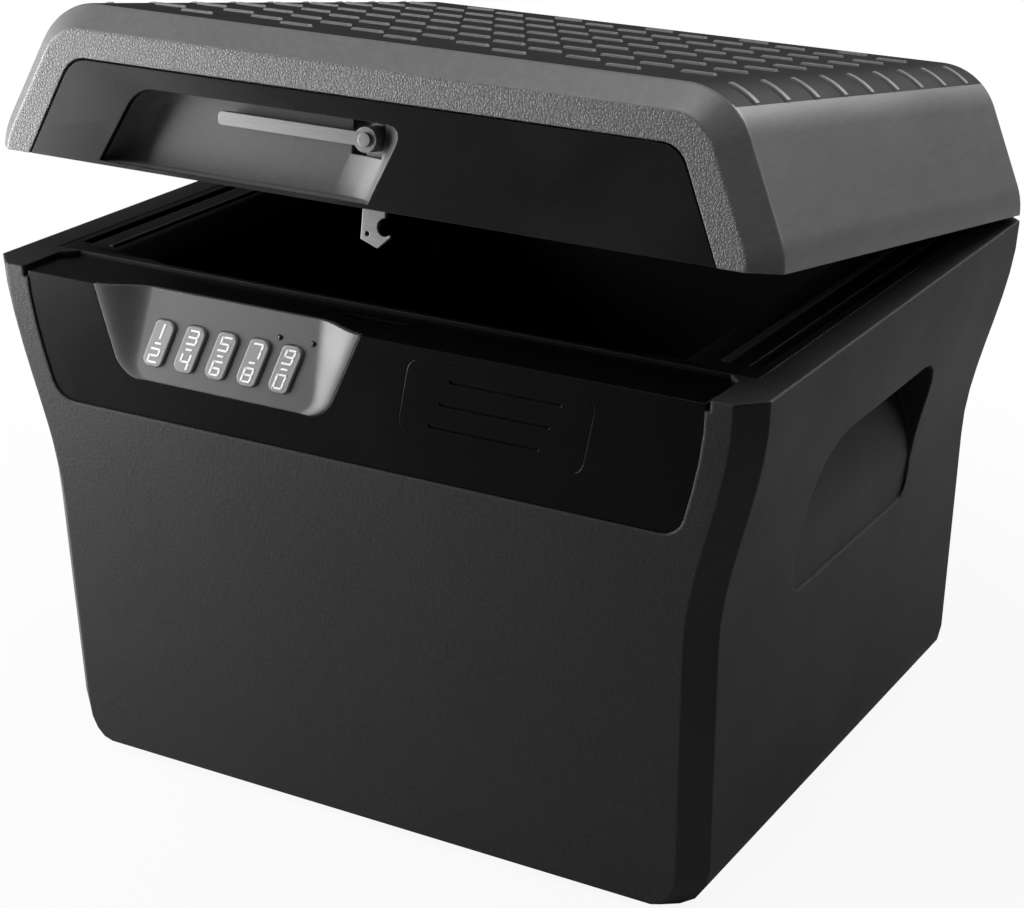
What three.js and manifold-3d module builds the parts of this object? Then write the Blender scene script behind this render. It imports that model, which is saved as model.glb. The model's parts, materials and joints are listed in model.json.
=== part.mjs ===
// A fire resistant chest with a keypad lock: a moulded case, a hinged lid with a tread pattern,
// a front lock unit and a lift latch. Millimetres, +Z up, the front faces -Y.
// The origin is on the floor, under the middle of the case.

import * as THREE from 'three';
import { mergeVertices } from 'three/addons/utils/BufferGeometryUtils.js';
import Module from 'manifold-3d';

const wasm = await Module();
wasm.setup();

// Case sizes
const caseWidth = 422;
const caseDepth = 351;
const caseHeight = 270;
const waistInset = 22.5;
const footInset = 25.5;
const waistDrop = 127;
const rimBand = 1.5;
const frontLean = 15.5;
const footRadius = 25;
const edgeChamfer = 12;
const footChamfer = 5;
const shellWall = 3;
const flangeThickness = 4;
const flangeWidth = 16;
const backFlangeWidth = 20;

// Clearances and overruns
const fit = 0.3;
const slideFit = 0.35;
const overrun = 8;

// Chest cavity, liner and deck
const cavitySideWall = 62;
const cavityFrontFill = 4.3;
const cavityBackWall = 38.5;
const cavityFloor = 40;
const cavityTaper = 5;
const cavityFrontTaper = 13;
const cavityCornerRadius = 20;
const linerWall = 2.2;
const deckThickness = 10.5;
const deckLip = 3.3;
const deckInnerDrop = 6;
const deckSlopeInset = 48;
const tongueGrooveInset = 24;
const grooveWidth = 6;
const grooveDepth = 7;
const grooveFrontInset = 49.5;
const grooveBackInset = 25.5;
const grooveSpacing = 15;
const grooveCornerRadius = 14;

// Side hand pocket
const pocketCentreY = 2;
const pocketHalfLength = 76;
const pocketFloorDrop = 133;
const pocketTopDrop = 51;
const pocketBendDrop = 107;
const pocketLowerRadius = 13;
const pocketUpperRadius = 25;
const pocketSill = 1.2;
const pocketUndercut = 34;
const pocketBendPower = 1.4;

// Front lock unit
const fasciaBorder = 25;
const fasciaHeight = 68.2;
const fasciaCornerRadius = 13;
const fasciaThickness = 3;
const fasciaRecess = 0.8;
const fasciaSeat = 4;
const lockPocketDepth = 29;
const ledgeDrop = 2;
const ledgeSideInset = 23;
const ledgeDepth = 35.5;
const ledgeCornerRun = 7;

// Keypad dish
const dishLeftTop = -144.5;
const dishRightTop = 10;
const dishLeftFoot = -132.5;
const dishRightFoot = -12.5;
const dishDrop = 48.5;
const dishCornerRadius = 11;
const dishDepth = 10;
const dishStep = 0.4;
const dishFootRun = 8;
const dishTopRun = 29;
const dishThickness = 2;
const postRadius = 2.5;

// Keys, lamps and circuit board
const keyCount = 5;
const keyPitch = 18.6;
const firstKeyX = -110;
const keyDrop = 28.5;
const keyWidth = 11.8;
const keyHeight = 24;
const keyCornerRadius = 3.6;
const keyLeanShare = 0.38;
const keyProud = 1.6;
const keyTravel = 0.8;
const keyFlange = 1;
const lampRadius = 1.1;
const lampFlangeRadius = 2;
const lampProud = 0.5;
const lampXs = [-40, -21];
const lampDrop = 14;
const boardThickness = 1.6;
const boardMargin = 7.5;
const boardRise = 22;
const boardFall = 19;

// Battery bay
const coverCentreX = 80.5;
const coverDrop = 28.2;
const coverWidth = 97;
const coverHeight = 41;
const coverLeanShare = 0.22;
const coverCornerRadius = 8;
const coverThickness = 2.2;
const coverRebate = 1.5;
const gripGrooveLength = 58;
const gripGrooveWidth = 2;
const gripGrooveDepth = 0.9;
const gripGrooveRounding = 0.4;
const gripGroovePitch = 12;
const gripGrooveLeanShare = 0.5;
const cellRadius = 5.25;
const cellLength = 44.5;
const cellTipRadius = 1.9;
const cellTipLength = 0.8;
const cellColumnGap = 3;
const cellRowPitch = 12;
const cellRowDrop = 34;
const trayWall = 1.6;
const contactThickness = 0.5;
const contactSpringLength = 1.2;
const contactSpringRadius = 3;

// Lock
const boltHeight = 4;
const boltRise = 0.4;
const boltWidth = 4.6;
const boltTipGap = 0.5;
const boltFingerLength = 14;
const boltArmWidth = 6;
const boltArmLength = 34;
const boltTravel = 3;
const housingWall = 1.6;
const housingLeft = -16;
const housingRight = 30;
const housingHeight = 45.7;
const housingFrontInset = 14.9;
const solenoidLength = 24;
const solenoidRadius = 3.8;
const plungerRadius = 1.7;
const plungerReach = 14;

// Lid
const lidGap = 1.2;
const lidHeight = 75;
const lidFrontSetback = 2.5;
const lidLowerRadius = 37;
const lidUpperRadius = 35;
const lidShoulderInset = 53.5;
const lidSideAngle = THREE.MathUtils.degToRad(25.2);
const lidWall = 3;
const lidOpenAngle = THREE.MathUtils.degToRad(9.16);
const lidFasciaInset = 25.5;
const lidFasciaTopInset = 48;
const lidFasciaHeight = 49.5;
const lidFasciaCornerRadius = 14;
const lidFasciaThickness = 2.5;
const lidFasciaRecess = 0.6;
const lidFasciaGroove = 1;
const lidLinerThickness = 2.6;
const tongueWidth = 2.6;
const tongueDepth = 6;
const gasketSqueezeGap = 0.4;

// Tread bars on the lid
const treadPitchX = 28.8;
const treadPitchY = 34.4;
const treadLength = 15;
const treadWidth = 4.6;
const treadHeight = 1.1;
const treadSlope = 0.9;
const shoulderBarRun = 17;
const shoulderBarOffset = 8.5;

// Lid recess and latch
const recessLeftFoot = -143.5;
const recessRightFoot = 9.5;
const recessLeftTop = -122.5;
const recessRightTop = 27;
const recessHeight = 39.3;
const recessCornerRadius = 9;
const recessDepth = 17;
const recessLeftRun = 16;
const recessRightRun = 30;
const recessWall = 2;
const pivotX = 2;
const pivotRise = 30;
const pivotRadius = 2;
const pivotHeadRadius = 3.4;
const leverLength = 82;
const leverHeight = 6.4;
const leverWidth = 5.5;
const leverInset = 8.5;
const leverBossRadius = 6;
const hookThickness = 2.4;
const hookLeft = -3.3;
const hookStemWidth = 12.3;
const hookHeelDrop = 17.2;
const hookTipDrop = 20.4;
const hookTipX = 6.2;
const hookBarbX = 12.5;
const hookBarbDrop = 14.5;
const hookNotchX = 9.4;
const hookNotchDrop = 10.2;
const hookNotchRadius = 4.3;
const hookShoulderDrop = 5.8;
const hookHoleRadius = 1.2;
const hookHoleX = 0.1;
const hookHoleDrop = 14.3;
const hookSlotLeft = -12;
const hookSlotRight = 20;
const hookSlotWidth = 5;
const bracketThickness = 2;
const bracketHalfWidth = 11;
const bracketDrop = 18;

// Hinges
const hingeInset = 93;
const hingeRadius = 5;
const hingePinRadius = 2.4;
const hingePinInset = 0.6;
const hingeLugLength = 16;
const hingeGap = 0.5;
const hingeWebDepth = 5;
const hingeClearance = 1.4;

// Face counts
const footSteps = 4;
const flareSteps = 9;
const cornerSteps = 4;
const lidLowerSteps = 2;
const lidUpperSteps = 6;
const sweepSteps = 4;
const roundSides = 20;
const smallSides = 14;

// Places worked out from the sizes
const frontY = -caseDepth / 2;
const backY = caseDepth / 2;
const rimHalfWidth = caseWidth / 2;
const waistHalfWidth = rimHalfWidth - waistInset;
const footHalfWidth = rimHalfWidth - footInset;
const waistHeight = caseHeight - waistDrop;
const flareTop = caseHeight - rimBand;
const cavityHalfWidth = rimHalfWidth - cavitySideWall;
const cavityBack = backY - cavityBackWall;
const tongueGrooveX = rimHalfWidth - tongueGrooveInset;
const gasketGrooveX = tongueGrooveX - grooveSpacing;
const deckSlopeStart = rimHalfWidth - deckSlopeInset;
const grooveFrontY = frontY + grooveFrontInset;
const grooveBackY = backY - grooveBackInset;
const pocketFloorZ = caseHeight - pocketFloorDrop;
const pocketTopZ = caseHeight - pocketTopDrop;
const pocketBendZ = caseHeight - pocketBendDrop;
const ledgeZ = caseHeight - ledgeDrop;
const ledgeHalfWidth = rimHalfWidth - ledgeSideInset;
const ledgeBackY = frontY + ledgeDepth;
const lockPocketBack = frontY + lockPocketDepth;
const cavityFront = lockPocketBack + shellWall + fit + cavityFrontFill + fit + linerWall;
const fasciaBottom = caseHeight - fasciaHeight;
const dishBottom = caseHeight - dishDrop;
const keyCentreZ = caseHeight - keyDrop;
const lampZ = caseHeight - lampDrop;
const coverCentreZ = caseHeight - coverDrop;
const cellRowCentreZ = caseHeight - cellRowDrop;
const hingeX = rimHalfWidth - hingeInset;
const lidBottom = caseHeight + lidGap;
const lidTop = lidBottom + lidHeight;
const lidFront = frontY + lidFrontSetback;
const lidFlatHalfWidth = rimHalfWidth - lidShoulderInset;
const lidFasciaHalfWidth = rimHalfWidth - lidFasciaInset;
const lidFasciaTopHalfWidth = rimHalfWidth - lidFasciaTopInset;
const hingeZ = caseHeight + lidGap / 2;
const deckBottom = caseHeight - deckThickness;
const hingeWebDrop = hingeZ - deckBottom;
const insulationTop = deckBottom - fit;
const recessFloorZ = lidBottom + recessWall;
const recessBackY = lidFront + recessDepth;
const hookFrontY = recessBackY + recessWall + fit;
const hookBackY = hookFrontY + hookThickness;
const hookMidY = (hookFrontY + hookBackY) / 2;
const bracketFrontY = hookBackY + fit;
const lidCoreFront = bracketFrontY + bracketThickness + fit;
const notchZ = lidBottom - hookNotchDrop;
const pivotZ = lidBottom + pivotRise;
const boltTipX = hookBarbX + boltTipGap;
const boltZ = notchZ + boltRise;

// Finishes
const finish = (color, roughness, metalness) => (
  new THREE.MeshStandardMaterial({ color, roughness, metalness })
);
const moulded = finish(0x2b2c2d, 0.62, 0);
const grained = finish(0x3a3b3c, 0.55, 0);
const satinBlack = finish(0x0c0c0d, 0.3, 0);
const lining = finish(0x1c1c1d, 0.6, 0);
const fill = finish(0xb9b4a8, 0.95, 0);
const rubber = finish(0x111111, 0.85, 0);
const silverPaint = finish(0x8d9093, 0.38, 0.35);
const keyPlastic = finish(0xb5b9ba, 0.4, 0);
const lampPlastic = finish(0x401010, 0.2, 0);
const steel = finish(0xb4b6b8, 0.32, 1);
const boardGreen = finish(0x174a2b, 0.5, 0);
const cellWrap = finish(0x30343a, 0.4, 0.2);

const object = new THREE.Group();
const lid = new THREE.Group();
const latch = new THREE.Group();
object.add(lid);
lid.add(latch);

// Solid modelling helpers

// A closed geometry through rings of points, capped at both ends.
function loft(rings) {
  const count = rings[0].length;
  const index = [];
  for (let r = 0; r < rings.length - 1; r++) {
    for (let i = 0; i < count; i++) {
      const a = r * count + i;
      const b = r * count + (i + 1) % count;
      index.push(a, b, b + count, a, b + count, a + count);
    }
  }
  addCap(index, rings[0], 0, true);
  addCap(index, rings[rings.length - 1], (rings.length - 1) * count, false);
  const geometry = new THREE.BufferGeometry();
  geometry.setFromPoints(rings.flat());
  geometry.setIndex(index);
  return facingOut(geometry);
}

// Triangles over one ring, wound along it or against it.
function addCap(index, ring, offset, against) {
  const normal = ringNormal(ring);
  const size = [Math.abs(normal.x), Math.abs(normal.y), Math.abs(normal.z)];
  const drop = size.indexOf(Math.max(...size));
  const flat = ring.map((p) => {
    if (drop === 0) return new THREE.Vector2(p.y, p.z);
    if (drop === 1) return new THREE.Vector2(p.x, p.z);
    return new THREE.Vector2(p.x, p.y);
  });
  const faces = THREE.ShapeUtils.triangulateShape(flat, []);
  const covered = faces.reduce((sum, face) => sum + THREE.ShapeUtils.area(face.map((i) => flat[i])), 0);
  const along = Math.sign(covered) === Math.sign(THREE.ShapeUtils.area(flat));
  for (const [i, j, k] of faces) {
    if (along !== against) index.push(offset + i, offset + j, offset + k);
    else index.push(offset + i, offset + k, offset + j);
  }
}

function ringNormal(ring) {
  const normal = new THREE.Vector3();
  ring.forEach((p, i) => normal.add(p.clone().cross(ring[(i + 1) % ring.length])));
  return normal;
}

// Flips a closed geometry whose faces point inwards.
function facingOut(geometry) {
  const position = geometry.attributes.position;
  const index = geometry.index.array;
  const [a, b, c] = [new THREE.Vector3(), new THREE.Vector3(), new THREE.Vector3()];
  let volume = 0;
  for (let i = 0; i < index.length; i += 3) {
    a.fromBufferAttribute(position, index[i]);
    b.fromBufferAttribute(position, index[i + 1]);
    c.fromBufferAttribute(position, index[i + 2]);
    volume += a.dot(b.cross(c));
  }
  if (volume < 0) {
    const flipped = [];
    for (let i = 0; i < index.length; i += 3) flipped.push(index[i], index[i + 2], index[i + 1]);
    geometry.setIndex(flipped);
  }
  return geometry;
}

// A prism of an outline in XZ, along Y. The ends may follow a function of z.
function prismY(outline, from, to) {
  const at = (end, z) => (typeof end === 'function' ? end(z) : end);
  return loft([from, to].map((end) => outline.map((p) => new THREE.Vector3(p.x, at(end, p.y), p.y))));
}

// A prism of an outline in XY, along Z.
function prismZ(outline, from, to) {
  return loft([from, to].map((z) => outline.map((p) => new THREE.Vector3(p.x, p.y, z))));
}

function box(x0, x1, y0, y1, z0, z1) {
  const geometry = new THREE.BoxGeometry(x1 - x0, y1 - y0, z1 - z0);
  return geometry.translate((x0 + x1) / 2, (y0 + y1) / 2, (z0 + z1) / 2);
}

function rodX(radius, x0, x1, y, z, sides = roundSides) {
  const geometry = new THREE.CylinderGeometry(radius, radius, x1 - x0, sides);
  return geometry.rotateZ(Math.PI / 2).translate((x0 + x1) / 2, y, z);
}

function rodY(radius, y0, y1, x, z, sides = roundSides) {
  return new THREE.CylinderGeometry(radius, radius, y1 - y0, sides).translate(x, (y0 + y1) / 2, z);
}

// A revolved shape about the X axis, from a profile of radius and x.
function revolveX(profile, x, y, z, sides = roundSides) {
  const points = profile.map(([radius, along]) => new THREE.Vector2(radius, along));
  return new THREE.LatheGeometry(points, sides).rotateZ(-Math.PI / 2).translate(x, y, z);
}

function corners(...pairs) {
  return pairs.map(([x, y]) => new THREE.Vector2(x, y));
}

// Rounds each corner of an outline with an arc. radii is one radius, or one for each corner.
function rounded(outline, radii, steps = cornerSteps) {
  const count = outline.length;
  const points = [];
  outline.forEach((corner, i) => {
    const radius = Array.isArray(radii) ? radii[i] : radii;
    if (radius === 0) {
      points.push(corner);
      return;
    }
    const before = outline[(i + count - 1) % count].clone().sub(corner).normalize();
    const after = outline[(i + 1) % count].clone().sub(corner).normalize();
    const half = Math.acos(THREE.MathUtils.clamp(before.dot(after), -1, 1)) / 2;
    const centre = before.clone().add(after).normalize().multiplyScalar(radius / Math.sin(half)).add(corner);
    const start = before.clone().multiplyScalar(radius / Math.tan(half)).add(corner).sub(centre).angle();
    const end = after.clone().multiplyScalar(radius / Math.tan(half)).add(corner).sub(centre).angle();
    const turn = Math.atan2(Math.sin(end - start), Math.cos(end - start));
    for (let s = 0; s <= steps; s++) {
      const angle = start + turn * s / steps;
      points.push(new THREE.Vector2(Math.cos(angle), Math.sin(angle)).multiplyScalar(radius).add(centre));
    }
  });
  return points;
}

function roundedRectangle(x0, x1, y0, y1, radius) {
  return rounded(corners([x0, y0], [x1, y0], [x1, y1], [x0, y1]), radius);
}

// A leaning bar outline, a parallelogram with round corners.
function leaningBar(x, z, width, height, leanShare, radius) {
  const lean = leanShare * height / 2;
  return rounded(corners(
    [x - width / 2 - lean, z - height / 2], [x + width / 2 - lean, z - height / 2],
    [x + width / 2 + lean, z + height / 2], [x - width / 2 + lean, z + height / 2],
  ), radius);
}

function solidOf(geometry) {
  const bare = geometry.clone();
  bare.deleteAttribute('normal');
  bare.deleteAttribute('uv');
  const merged = mergeVertices(bare);
  return new wasm.Manifold(new wasm.Mesh({
    numProp: 3,
    vertProperties: new Float32Array(merged.attributes.position.array),
    triVerts: new Uint32Array(merged.index.array),
  }));
}

function geometryOf(solid) {
  const mesh = solid.getMesh();
  const geometry = new THREE.BufferGeometry();
  geometry.setAttribute('position', new THREE.BufferAttribute(mesh.vertProperties, 3));
  geometry.setIndex(new THREE.BufferAttribute(mesh.triVerts, 1));
  return geometry;
}

function join(...geometries) {
  return geometryOf(geometries.map(solidOf).reduce((whole, piece) => whole.add(piece)));
}

function cut(geometry, ...tools) {
  return geometryOf(tools.map(solidOf).reduce((whole, tool) => whole.subtract(tool), solidOf(geometry)));
}

function common(geometry, ...others) {
  return geometryOf(others.map(solidOf).reduce((whole, other) => whole.intersect(other), solidOf(geometry)));
}

function addPiece(group, name, geometry, material) {
  geometry.computeVertexNormals();
  const mesh = new THREE.Mesh(geometry, material);
  mesh.name = name;
  group.add(mesh);
}

// Case

// The front face leans in towards the floor.
function frontAt(z) {
  return frontY + frontLean * (caseHeight - z) / caseHeight;
}

// The sides stand nearly upright and flare out under the rim.
function caseHalfWidth(z) {
  const standShare = THREE.MathUtils.clamp(z / waistHeight, 0, 1);
  const stand = THREE.MathUtils.lerp(footHalfWidth, waistHalfWidth, standShare);
  return stand + (rimHalfWidth - waistHalfWidth) * THREE.MathUtils.smoothstep(z, waistHeight, flareTop);
}

function flareLevels(bottom, top) {
  const levels = [bottom];
  for (let i = 0; i <= flareSteps; i++) {
    const z = THREE.MathUtils.lerp(waistHeight, flareTop, i / flareSteps);
    if (z > bottom && z < top) levels.push(z);
  }
  levels.push(top);
  return levels;
}

// One ring round the case in a plane across its depth.
function caseRing(inset, sideChamfer, lowerChamfer, top, depthAt) {
  const side = [];
  const centreX = caseHalfWidth(footRadius) - footRadius;
  for (let i = 0; i < footSteps; i++) {
    const angle = Math.PI / 2 * i / footSteps;
    side.push(new THREE.Vector2(
      centreX + (footRadius - inset - sideChamfer) * Math.sin(angle),
      footRadius - (footRadius - inset - lowerChamfer) * Math.cos(angle),
    ));
  }
  for (const z of flareLevels(footRadius, top)) {
    side.push(new THREE.Vector2(caseHalfWidth(z) - inset - sideChamfer, z));
  }
  const mirrored = side.map((p) => new THREE.Vector2(-p.x, p.y)).reverse();
  return [...side, ...mirrored].map((p) => new THREE.Vector3(p.x, depthAt(p.y), p.y));
}

function caseBody(inset, top) {
  const front = (z) => frontAt(z) + inset;
  const back = () => backY - inset;
  return loft([
    caseRing(inset, edgeChamfer, footChamfer, top, front),
    caseRing(inset, 0, 0, top, (z) => front(z) + edgeChamfer),
    caseRing(inset, 0, 0, top, () => back() - edgeChamfer),
    caseRing(inset, edgeChamfer, footChamfer, top, back),
  ]);
}

// How far the hand pocket's floor lies inside the flared side: a thin step, then an undercut.
function pocketDepth(z) {
  const risen = THREE.MathUtils.clamp((z - pocketBendZ) / (pocketTopZ - pocketBendZ), 0, 1);
  return pocketSill + pocketUndercut * risen ** pocketBendPower;
}

// The hand pocket in one side: an undercut below the flare whose floor runs out at its foot.
function handPocket(side, grow) {
  const bottom = pocketFloorZ - grow;
  const top = pocketTopZ + grow;
  const lowerRadius = pocketLowerRadius + grow;
  const upperRadius = pocketUpperRadius + grow;
  const levels = [];
  for (let i = 0; i < sweepSteps; i++) {
    levels.push(bottom + lowerRadius * (1 - Math.cos(Math.PI / 2 * i / sweepSteps)));
  }
  for (let i = 0; i < sweepSteps; i++) {
    levels.push(THREE.MathUtils.lerp(bottom + lowerRadius, top - upperRadius, i / sweepSteps));
  }
  for (let i = 0; i <= sweepSteps; i++) {
    levels.push(top - upperRadius * (1 - Math.sin(Math.PI / 2 * i / sweepSteps)));
  }
  const rings = levels.map((z) => {
    const low = Math.max(0, lowerRadius - (z - bottom));
    const high = Math.max(0, upperRadius - (top - z));
    const pull = lowerRadius - Math.sqrt(lowerRadius ** 2 - low ** 2)
      + upperRadius - Math.sqrt(upperRadius ** 2 - high ** 2);
    const half = pocketHalfLength + grow - pull;
    const floorX = caseHalfWidth(z) - pocketDepth(z) - grow;
    const outX = rimHalfWidth + overrun;
    return [[floorX, -half], [outX, -half], [outX, half], [floorX, half]]
      .map(([x, y]) => new THREE.Vector3(side * x, pocketCentreY + y, z));
  });
  return loft(rings);
}

function fasciaOutline(inset, top) {
  const bottom = fasciaBottom + inset;
  const half = (z) => caseHalfWidth(z) - fasciaBorder - inset;
  const radius = fasciaCornerRadius - inset;
  const upper = flareLevels(bottom + radius, top).slice(1);
  const right = upper.map((z) => new THREE.Vector2(half(z), z));
  const left = upper.map((z) => new THREE.Vector2(-half(z), z)).reverse();
  const foot = [new THREE.Vector2(-half(bottom), bottom), new THREE.Vector2(half(bottom), bottom)];
  const outline = [...foot, ...right, ...left];
  const radii = outline.map((p, i) => (i < 2 ? radius : 0));
  return rounded(outline, radii);
}

function ledgeOutline(grow) {
  const half = ledgeHalfWidth + grow;
  const back = ledgeBackY + grow;
  const front = frontY - overrun;
  return corners(
    [-half, front], [half, front], [half, back - ledgeCornerRun], [half - ledgeCornerRun, back],
    [-half + ledgeCornerRun, back], [-half, back - ledgeCornerRun],
  );
}

// The front pocket for the lock unit, open to the front and up.
function lockPocket(grow) {
  const outline = fasciaOutline(fasciaSeat - grow, caseHeight + overrun);
  return prismY(outline, frontY - overrun, lockPocketBack + grow);
}

function ledgeCut(grow) {
  const floorZ = ledgeZ - fasciaThickness - grow;
  return prismZ(ledgeOutline(grow), floorZ, caseHeight + overrun);
}

// A rim for the lock unit's plate to sit on, behind the front face.
function seatRim(grow) {
  const seatY = (z) => faceAt(z) + fasciaThickness + fit;
  return prismY(fasciaOutline(-shellWall - grow, caseHeight), frontAt, (z) => seatY(z) + shellWall + grow);
}

function hingeSpan(side, slot) {
  const middle = side * hingeX + slot * (hingeLugLength + hingeGap);
  return [middle - hingeLugLength / 2, middle + hingeLugLength / 2];
}

// One hinge lug round the axis, on a web that runs down or up into its wall.
function hingeLug(span, up) {
  const webEnd = hingeZ + up * hingeWebDrop;
  const lug = rodX(hingeRadius, span[0], span[1], backY, hingeZ);
  const web = box(
    span[0], span[1], backY - hingeWebDepth, backY, Math.min(hingeZ, webEnd), Math.max(hingeZ, webEnd),
  );
  return join(lug, web);
}

// Room for the other half's lug.
function hingeNotch(span) {
  const reach = hingeRadius + hingeClearance;
  return box(
    span[0] - hingeGap, span[1] + hingeGap, backY - reach, backY + reach, hingeZ - reach, hingeZ + reach,
  );
}

function pinBore(side) {
  const reach = hingeLugLength * 2;
  return rodX(hingePinRadius + fit, side * hingeX - reach, side * hingeX + reach, backY, hingeZ);
}

const sides = [-1, 1];

function makeCaseShell() {
  const outer = caseBody(0, caseHeight);
  const inner = caseBody(shellWall, caseHeight - flangeThickness);
  const mouth = box(
    -rimHalfWidth + flangeWidth, rimHalfWidth - flangeWidth, ledgeBackY + fit, backY - backFlangeWidth,
    deckBottom - overrun, caseHeight + overrun,
  );
  const pocketWalls = [
    seatRim(0), lockPocket(shellWall), ...sides.map((side) => handPocket(side, shellWall)),
  ].map((piece) => common(piece, outer));
  const hollow = join(cut(outer, inner, mouth), ...pocketWalls);
  const fasciaSeatCut = prismY(
    fasciaOutline(0, caseHeight + overrun), frontY - overrun, (z) => faceAt(z) + fasciaThickness + fit,
  );
  const opened = cut(
    hollow, lockPocket(0), fasciaSeatCut, ledgeCut(fit), ...sides.map((side) => handPocket(side, 0)),
  );
  const lugs = sides.flatMap((side) => [-1, 1].map((slot) => hingeLug(hingeSpan(side, slot), -1)));
  const notches = sides.map((side) => hingeNotch(hingeSpan(side, 0)));
  return cut(join(opened, ...lugs), ...notches, ...sides.map(pinBore));
}

// A tapered tub outline, grown by a wall, between two heights.
function tub(grow, bottom, top) {
  const rings = [bottom, top].map((z) => {
    const down = THREE.MathUtils.clamp((caseHeight - z) / (caseHeight - cavityFloor), 0, 1);
    const half = cavityHalfWidth - cavityTaper * down + grow;
    const front = cavityFront + cavityFrontTaper * down - grow;
    const back = cavityBack - cavityTaper * down + grow;
    return roundedRectangle(-half, half, front, back, cavityCornerRadius + grow)
      .map((p) => new THREE.Vector3(p.x, p.y, z));
  });
  return loft(rings);
}

function makeInsulation() {
  return cut(
    caseBody(shellWall + fit, insulationTop),
    tub(linerWall + fit, cavityFloor - linerWall - fit, caseHeight),
    seatRim(fit), lockPocket(shellWall + fit),
    ...sides.map((side) => handPocket(side, shellWall + fit)),
  );
}

function makeLiner() {
  return cut(
    tub(linerWall, cavityFloor - linerWall, deckBottom - fit),
    tub(0, cavityFloor, caseHeight),
  );
}

// A groove along both sides and the back, closed at its two front ends.
function grooveTool(halfX, backAtY, width, bottom, top) {
  const outerRing = roundedRectangle(
    -halfX - width / 2, halfX + width / 2, frontY - overrun, backAtY + width / 2,
    grooveCornerRadius + width / 2,
  );
  const innerRing = roundedRectangle(
    -halfX + width / 2, halfX - width / 2, frontY - overrun, backAtY - width / 2,
    grooveCornerRadius - width / 2,
  );
  const ring = cut(prismZ(outerRing, bottom, top), prismZ(innerRing, bottom - overrun, top + overrun));
  const frontStop = box(
    -rimHalfWidth, rimHalfWidth, frontY - overrun * 2, grooveFrontY, bottom - overrun, top + overrun,
  );
  return cut(ring, frontStop);
}

function makeDeck() {
  const half = rimHalfWidth - flangeWidth - fit;
  const back = backY - backFlangeWidth - fit;
  const plate = box(-half, half, ledgeBackY + fit * 2, back, deckBottom, caseHeight);
  const grooveBottom = caseHeight - grooveDepth;
  const slopes = sides.map((side) => prismY(
    corners(
      [side * deckSlopeStart, caseHeight], [0, caseHeight + overrun], [0, caseHeight - deckInnerDrop],
      [side * cavityHalfWidth, caseHeight - deckInnerDrop],
    ),
    cavityFront + deckLip, grooveBackY - grooveSpacing - grooveWidth,
  ));
  return cut(
    plate, tub(0, cavityFloor, caseHeight + overrun), ...slopes,
    grooveTool(tongueGrooveX, grooveBackY, grooveWidth, grooveBottom, caseHeight + overrun),
    grooveTool(gasketGrooveX, grooveBackY - grooveSpacing, grooveWidth, grooveBottom, caseHeight + overrun),
  );
}

function makeGasket() {
  const bottom = caseHeight - grooveDepth + fit;
  const top = lidBottom - gasketSqueezeGap;
  const width = grooveWidth - fit * 2;
  const base = grooveTool(gasketGrooveX, grooveBackY - grooveSpacing, width, bottom, caseHeight - fit);
  const bulb = grooveTool(gasketGrooveX, grooveBackY - grooveSpacing, width / 2, bottom, top);
  const frontTrim = box(
    -rimHalfWidth, rimHalfWidth, frontY, grooveFrontY + fit, bottom - overrun, top + overrun,
  );
  return cut(join(base, bulb), frontTrim);
}

// Front lock unit

const dishSlope = (dishDepth - dishStep) / (ledgeZ - dishBottom);
const panelTilt = Math.atan(dishSlope - frontLean / caseHeight);

// How deep the dish is at a height: a fine step at its foot, deepest at the ledge.
function dishDepthAt(z) {
  return dishStep + dishSlope * (z - dishBottom);
}

function faceAt(z) {
  return frontAt(z) + fasciaRecess;
}

function dishSpan(z, grow) {
  const risen = (z - dishBottom) / (ledgeZ - dishBottom);
  const radius = dishCornerRadius + grow;
  const low = Math.max(0, radius - (z - dishBottom + grow));
  const pull = radius - Math.sqrt(Math.max(0, radius ** 2 - low ** 2));
  return [
    THREE.MathUtils.lerp(dishLeftFoot, dishLeftTop, risen) - grow + pull,
    THREE.MathUtils.lerp(dishRightFoot, dishRightTop, risen) + grow - pull,
  ];
}

// Sections of the dish. Its floor sinks in smoothly from both sides; back gives the far side of a section.
function dishBody(grow, top, near, far) {
  const bottom = dishBottom - grow;
  const radius = dishCornerRadius + grow;
  const levels = [];
  for (let i = 0; i < sweepSteps; i++) {
    const angle = Math.PI / 2 * (i + 1) / (sweepSteps + 1);
    levels.push(bottom + radius * (1 - Math.cos(angle)));
  }
  for (let i = 0; i <= sweepSteps; i++) {
    levels.push(THREE.MathUtils.lerp(bottom + radius, top, i / sweepSteps));
  }
  const rings = levels.map((z) => {
    const [left, right] = dishSpan(z, grow);
    const run = THREE.MathUtils.lerp(dishFootRun, dishTopRun, (z - dishBottom) / (ledgeZ - dishBottom));
    const across = [];
    for (let i = 0; i <= sweepSteps; i++) across.push([left + run * i / sweepSteps, i / sweepSteps]);
    for (let i = sweepSteps; i >= 0; i--) across.push([right - run * i / sweepSteps, i / sweepSteps]);
    const depth = (share) => dishDepthAt(z) * THREE.MathUtils.smoothstep(share, 0, 1);
    const front = across.map(([x, share]) => new THREE.Vector3(x, near(z, depth(share)), z));
    const rear = across.map(([x, share]) => new THREE.Vector3(x, far(z, depth(share)), z)).reverse();
    return [...front, ...rear];
  });
  return loft(rings);
}

// Places a geometry drawn flat, x across and y up with z towards the viewer, on the tilted key panel.
function onPanel(geometry, x, z) {
  const y = faceAt(z) + dishDepthAt(z);
  return geometry.rotateX(Math.PI / 2 - panelTilt).translate(x, y, z);
}

function flatPrism(outline, from, to) {
  return loft([from, to].map((out) => outline.map((p) => new THREE.Vector3(p.x, p.y, out))));
}

function keyOutline(grow) {
  return leaningBar(0, 0, keyWidth + grow * 2, keyHeight + grow * 2, keyLeanShare, keyCornerRadius + grow);
}

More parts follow.
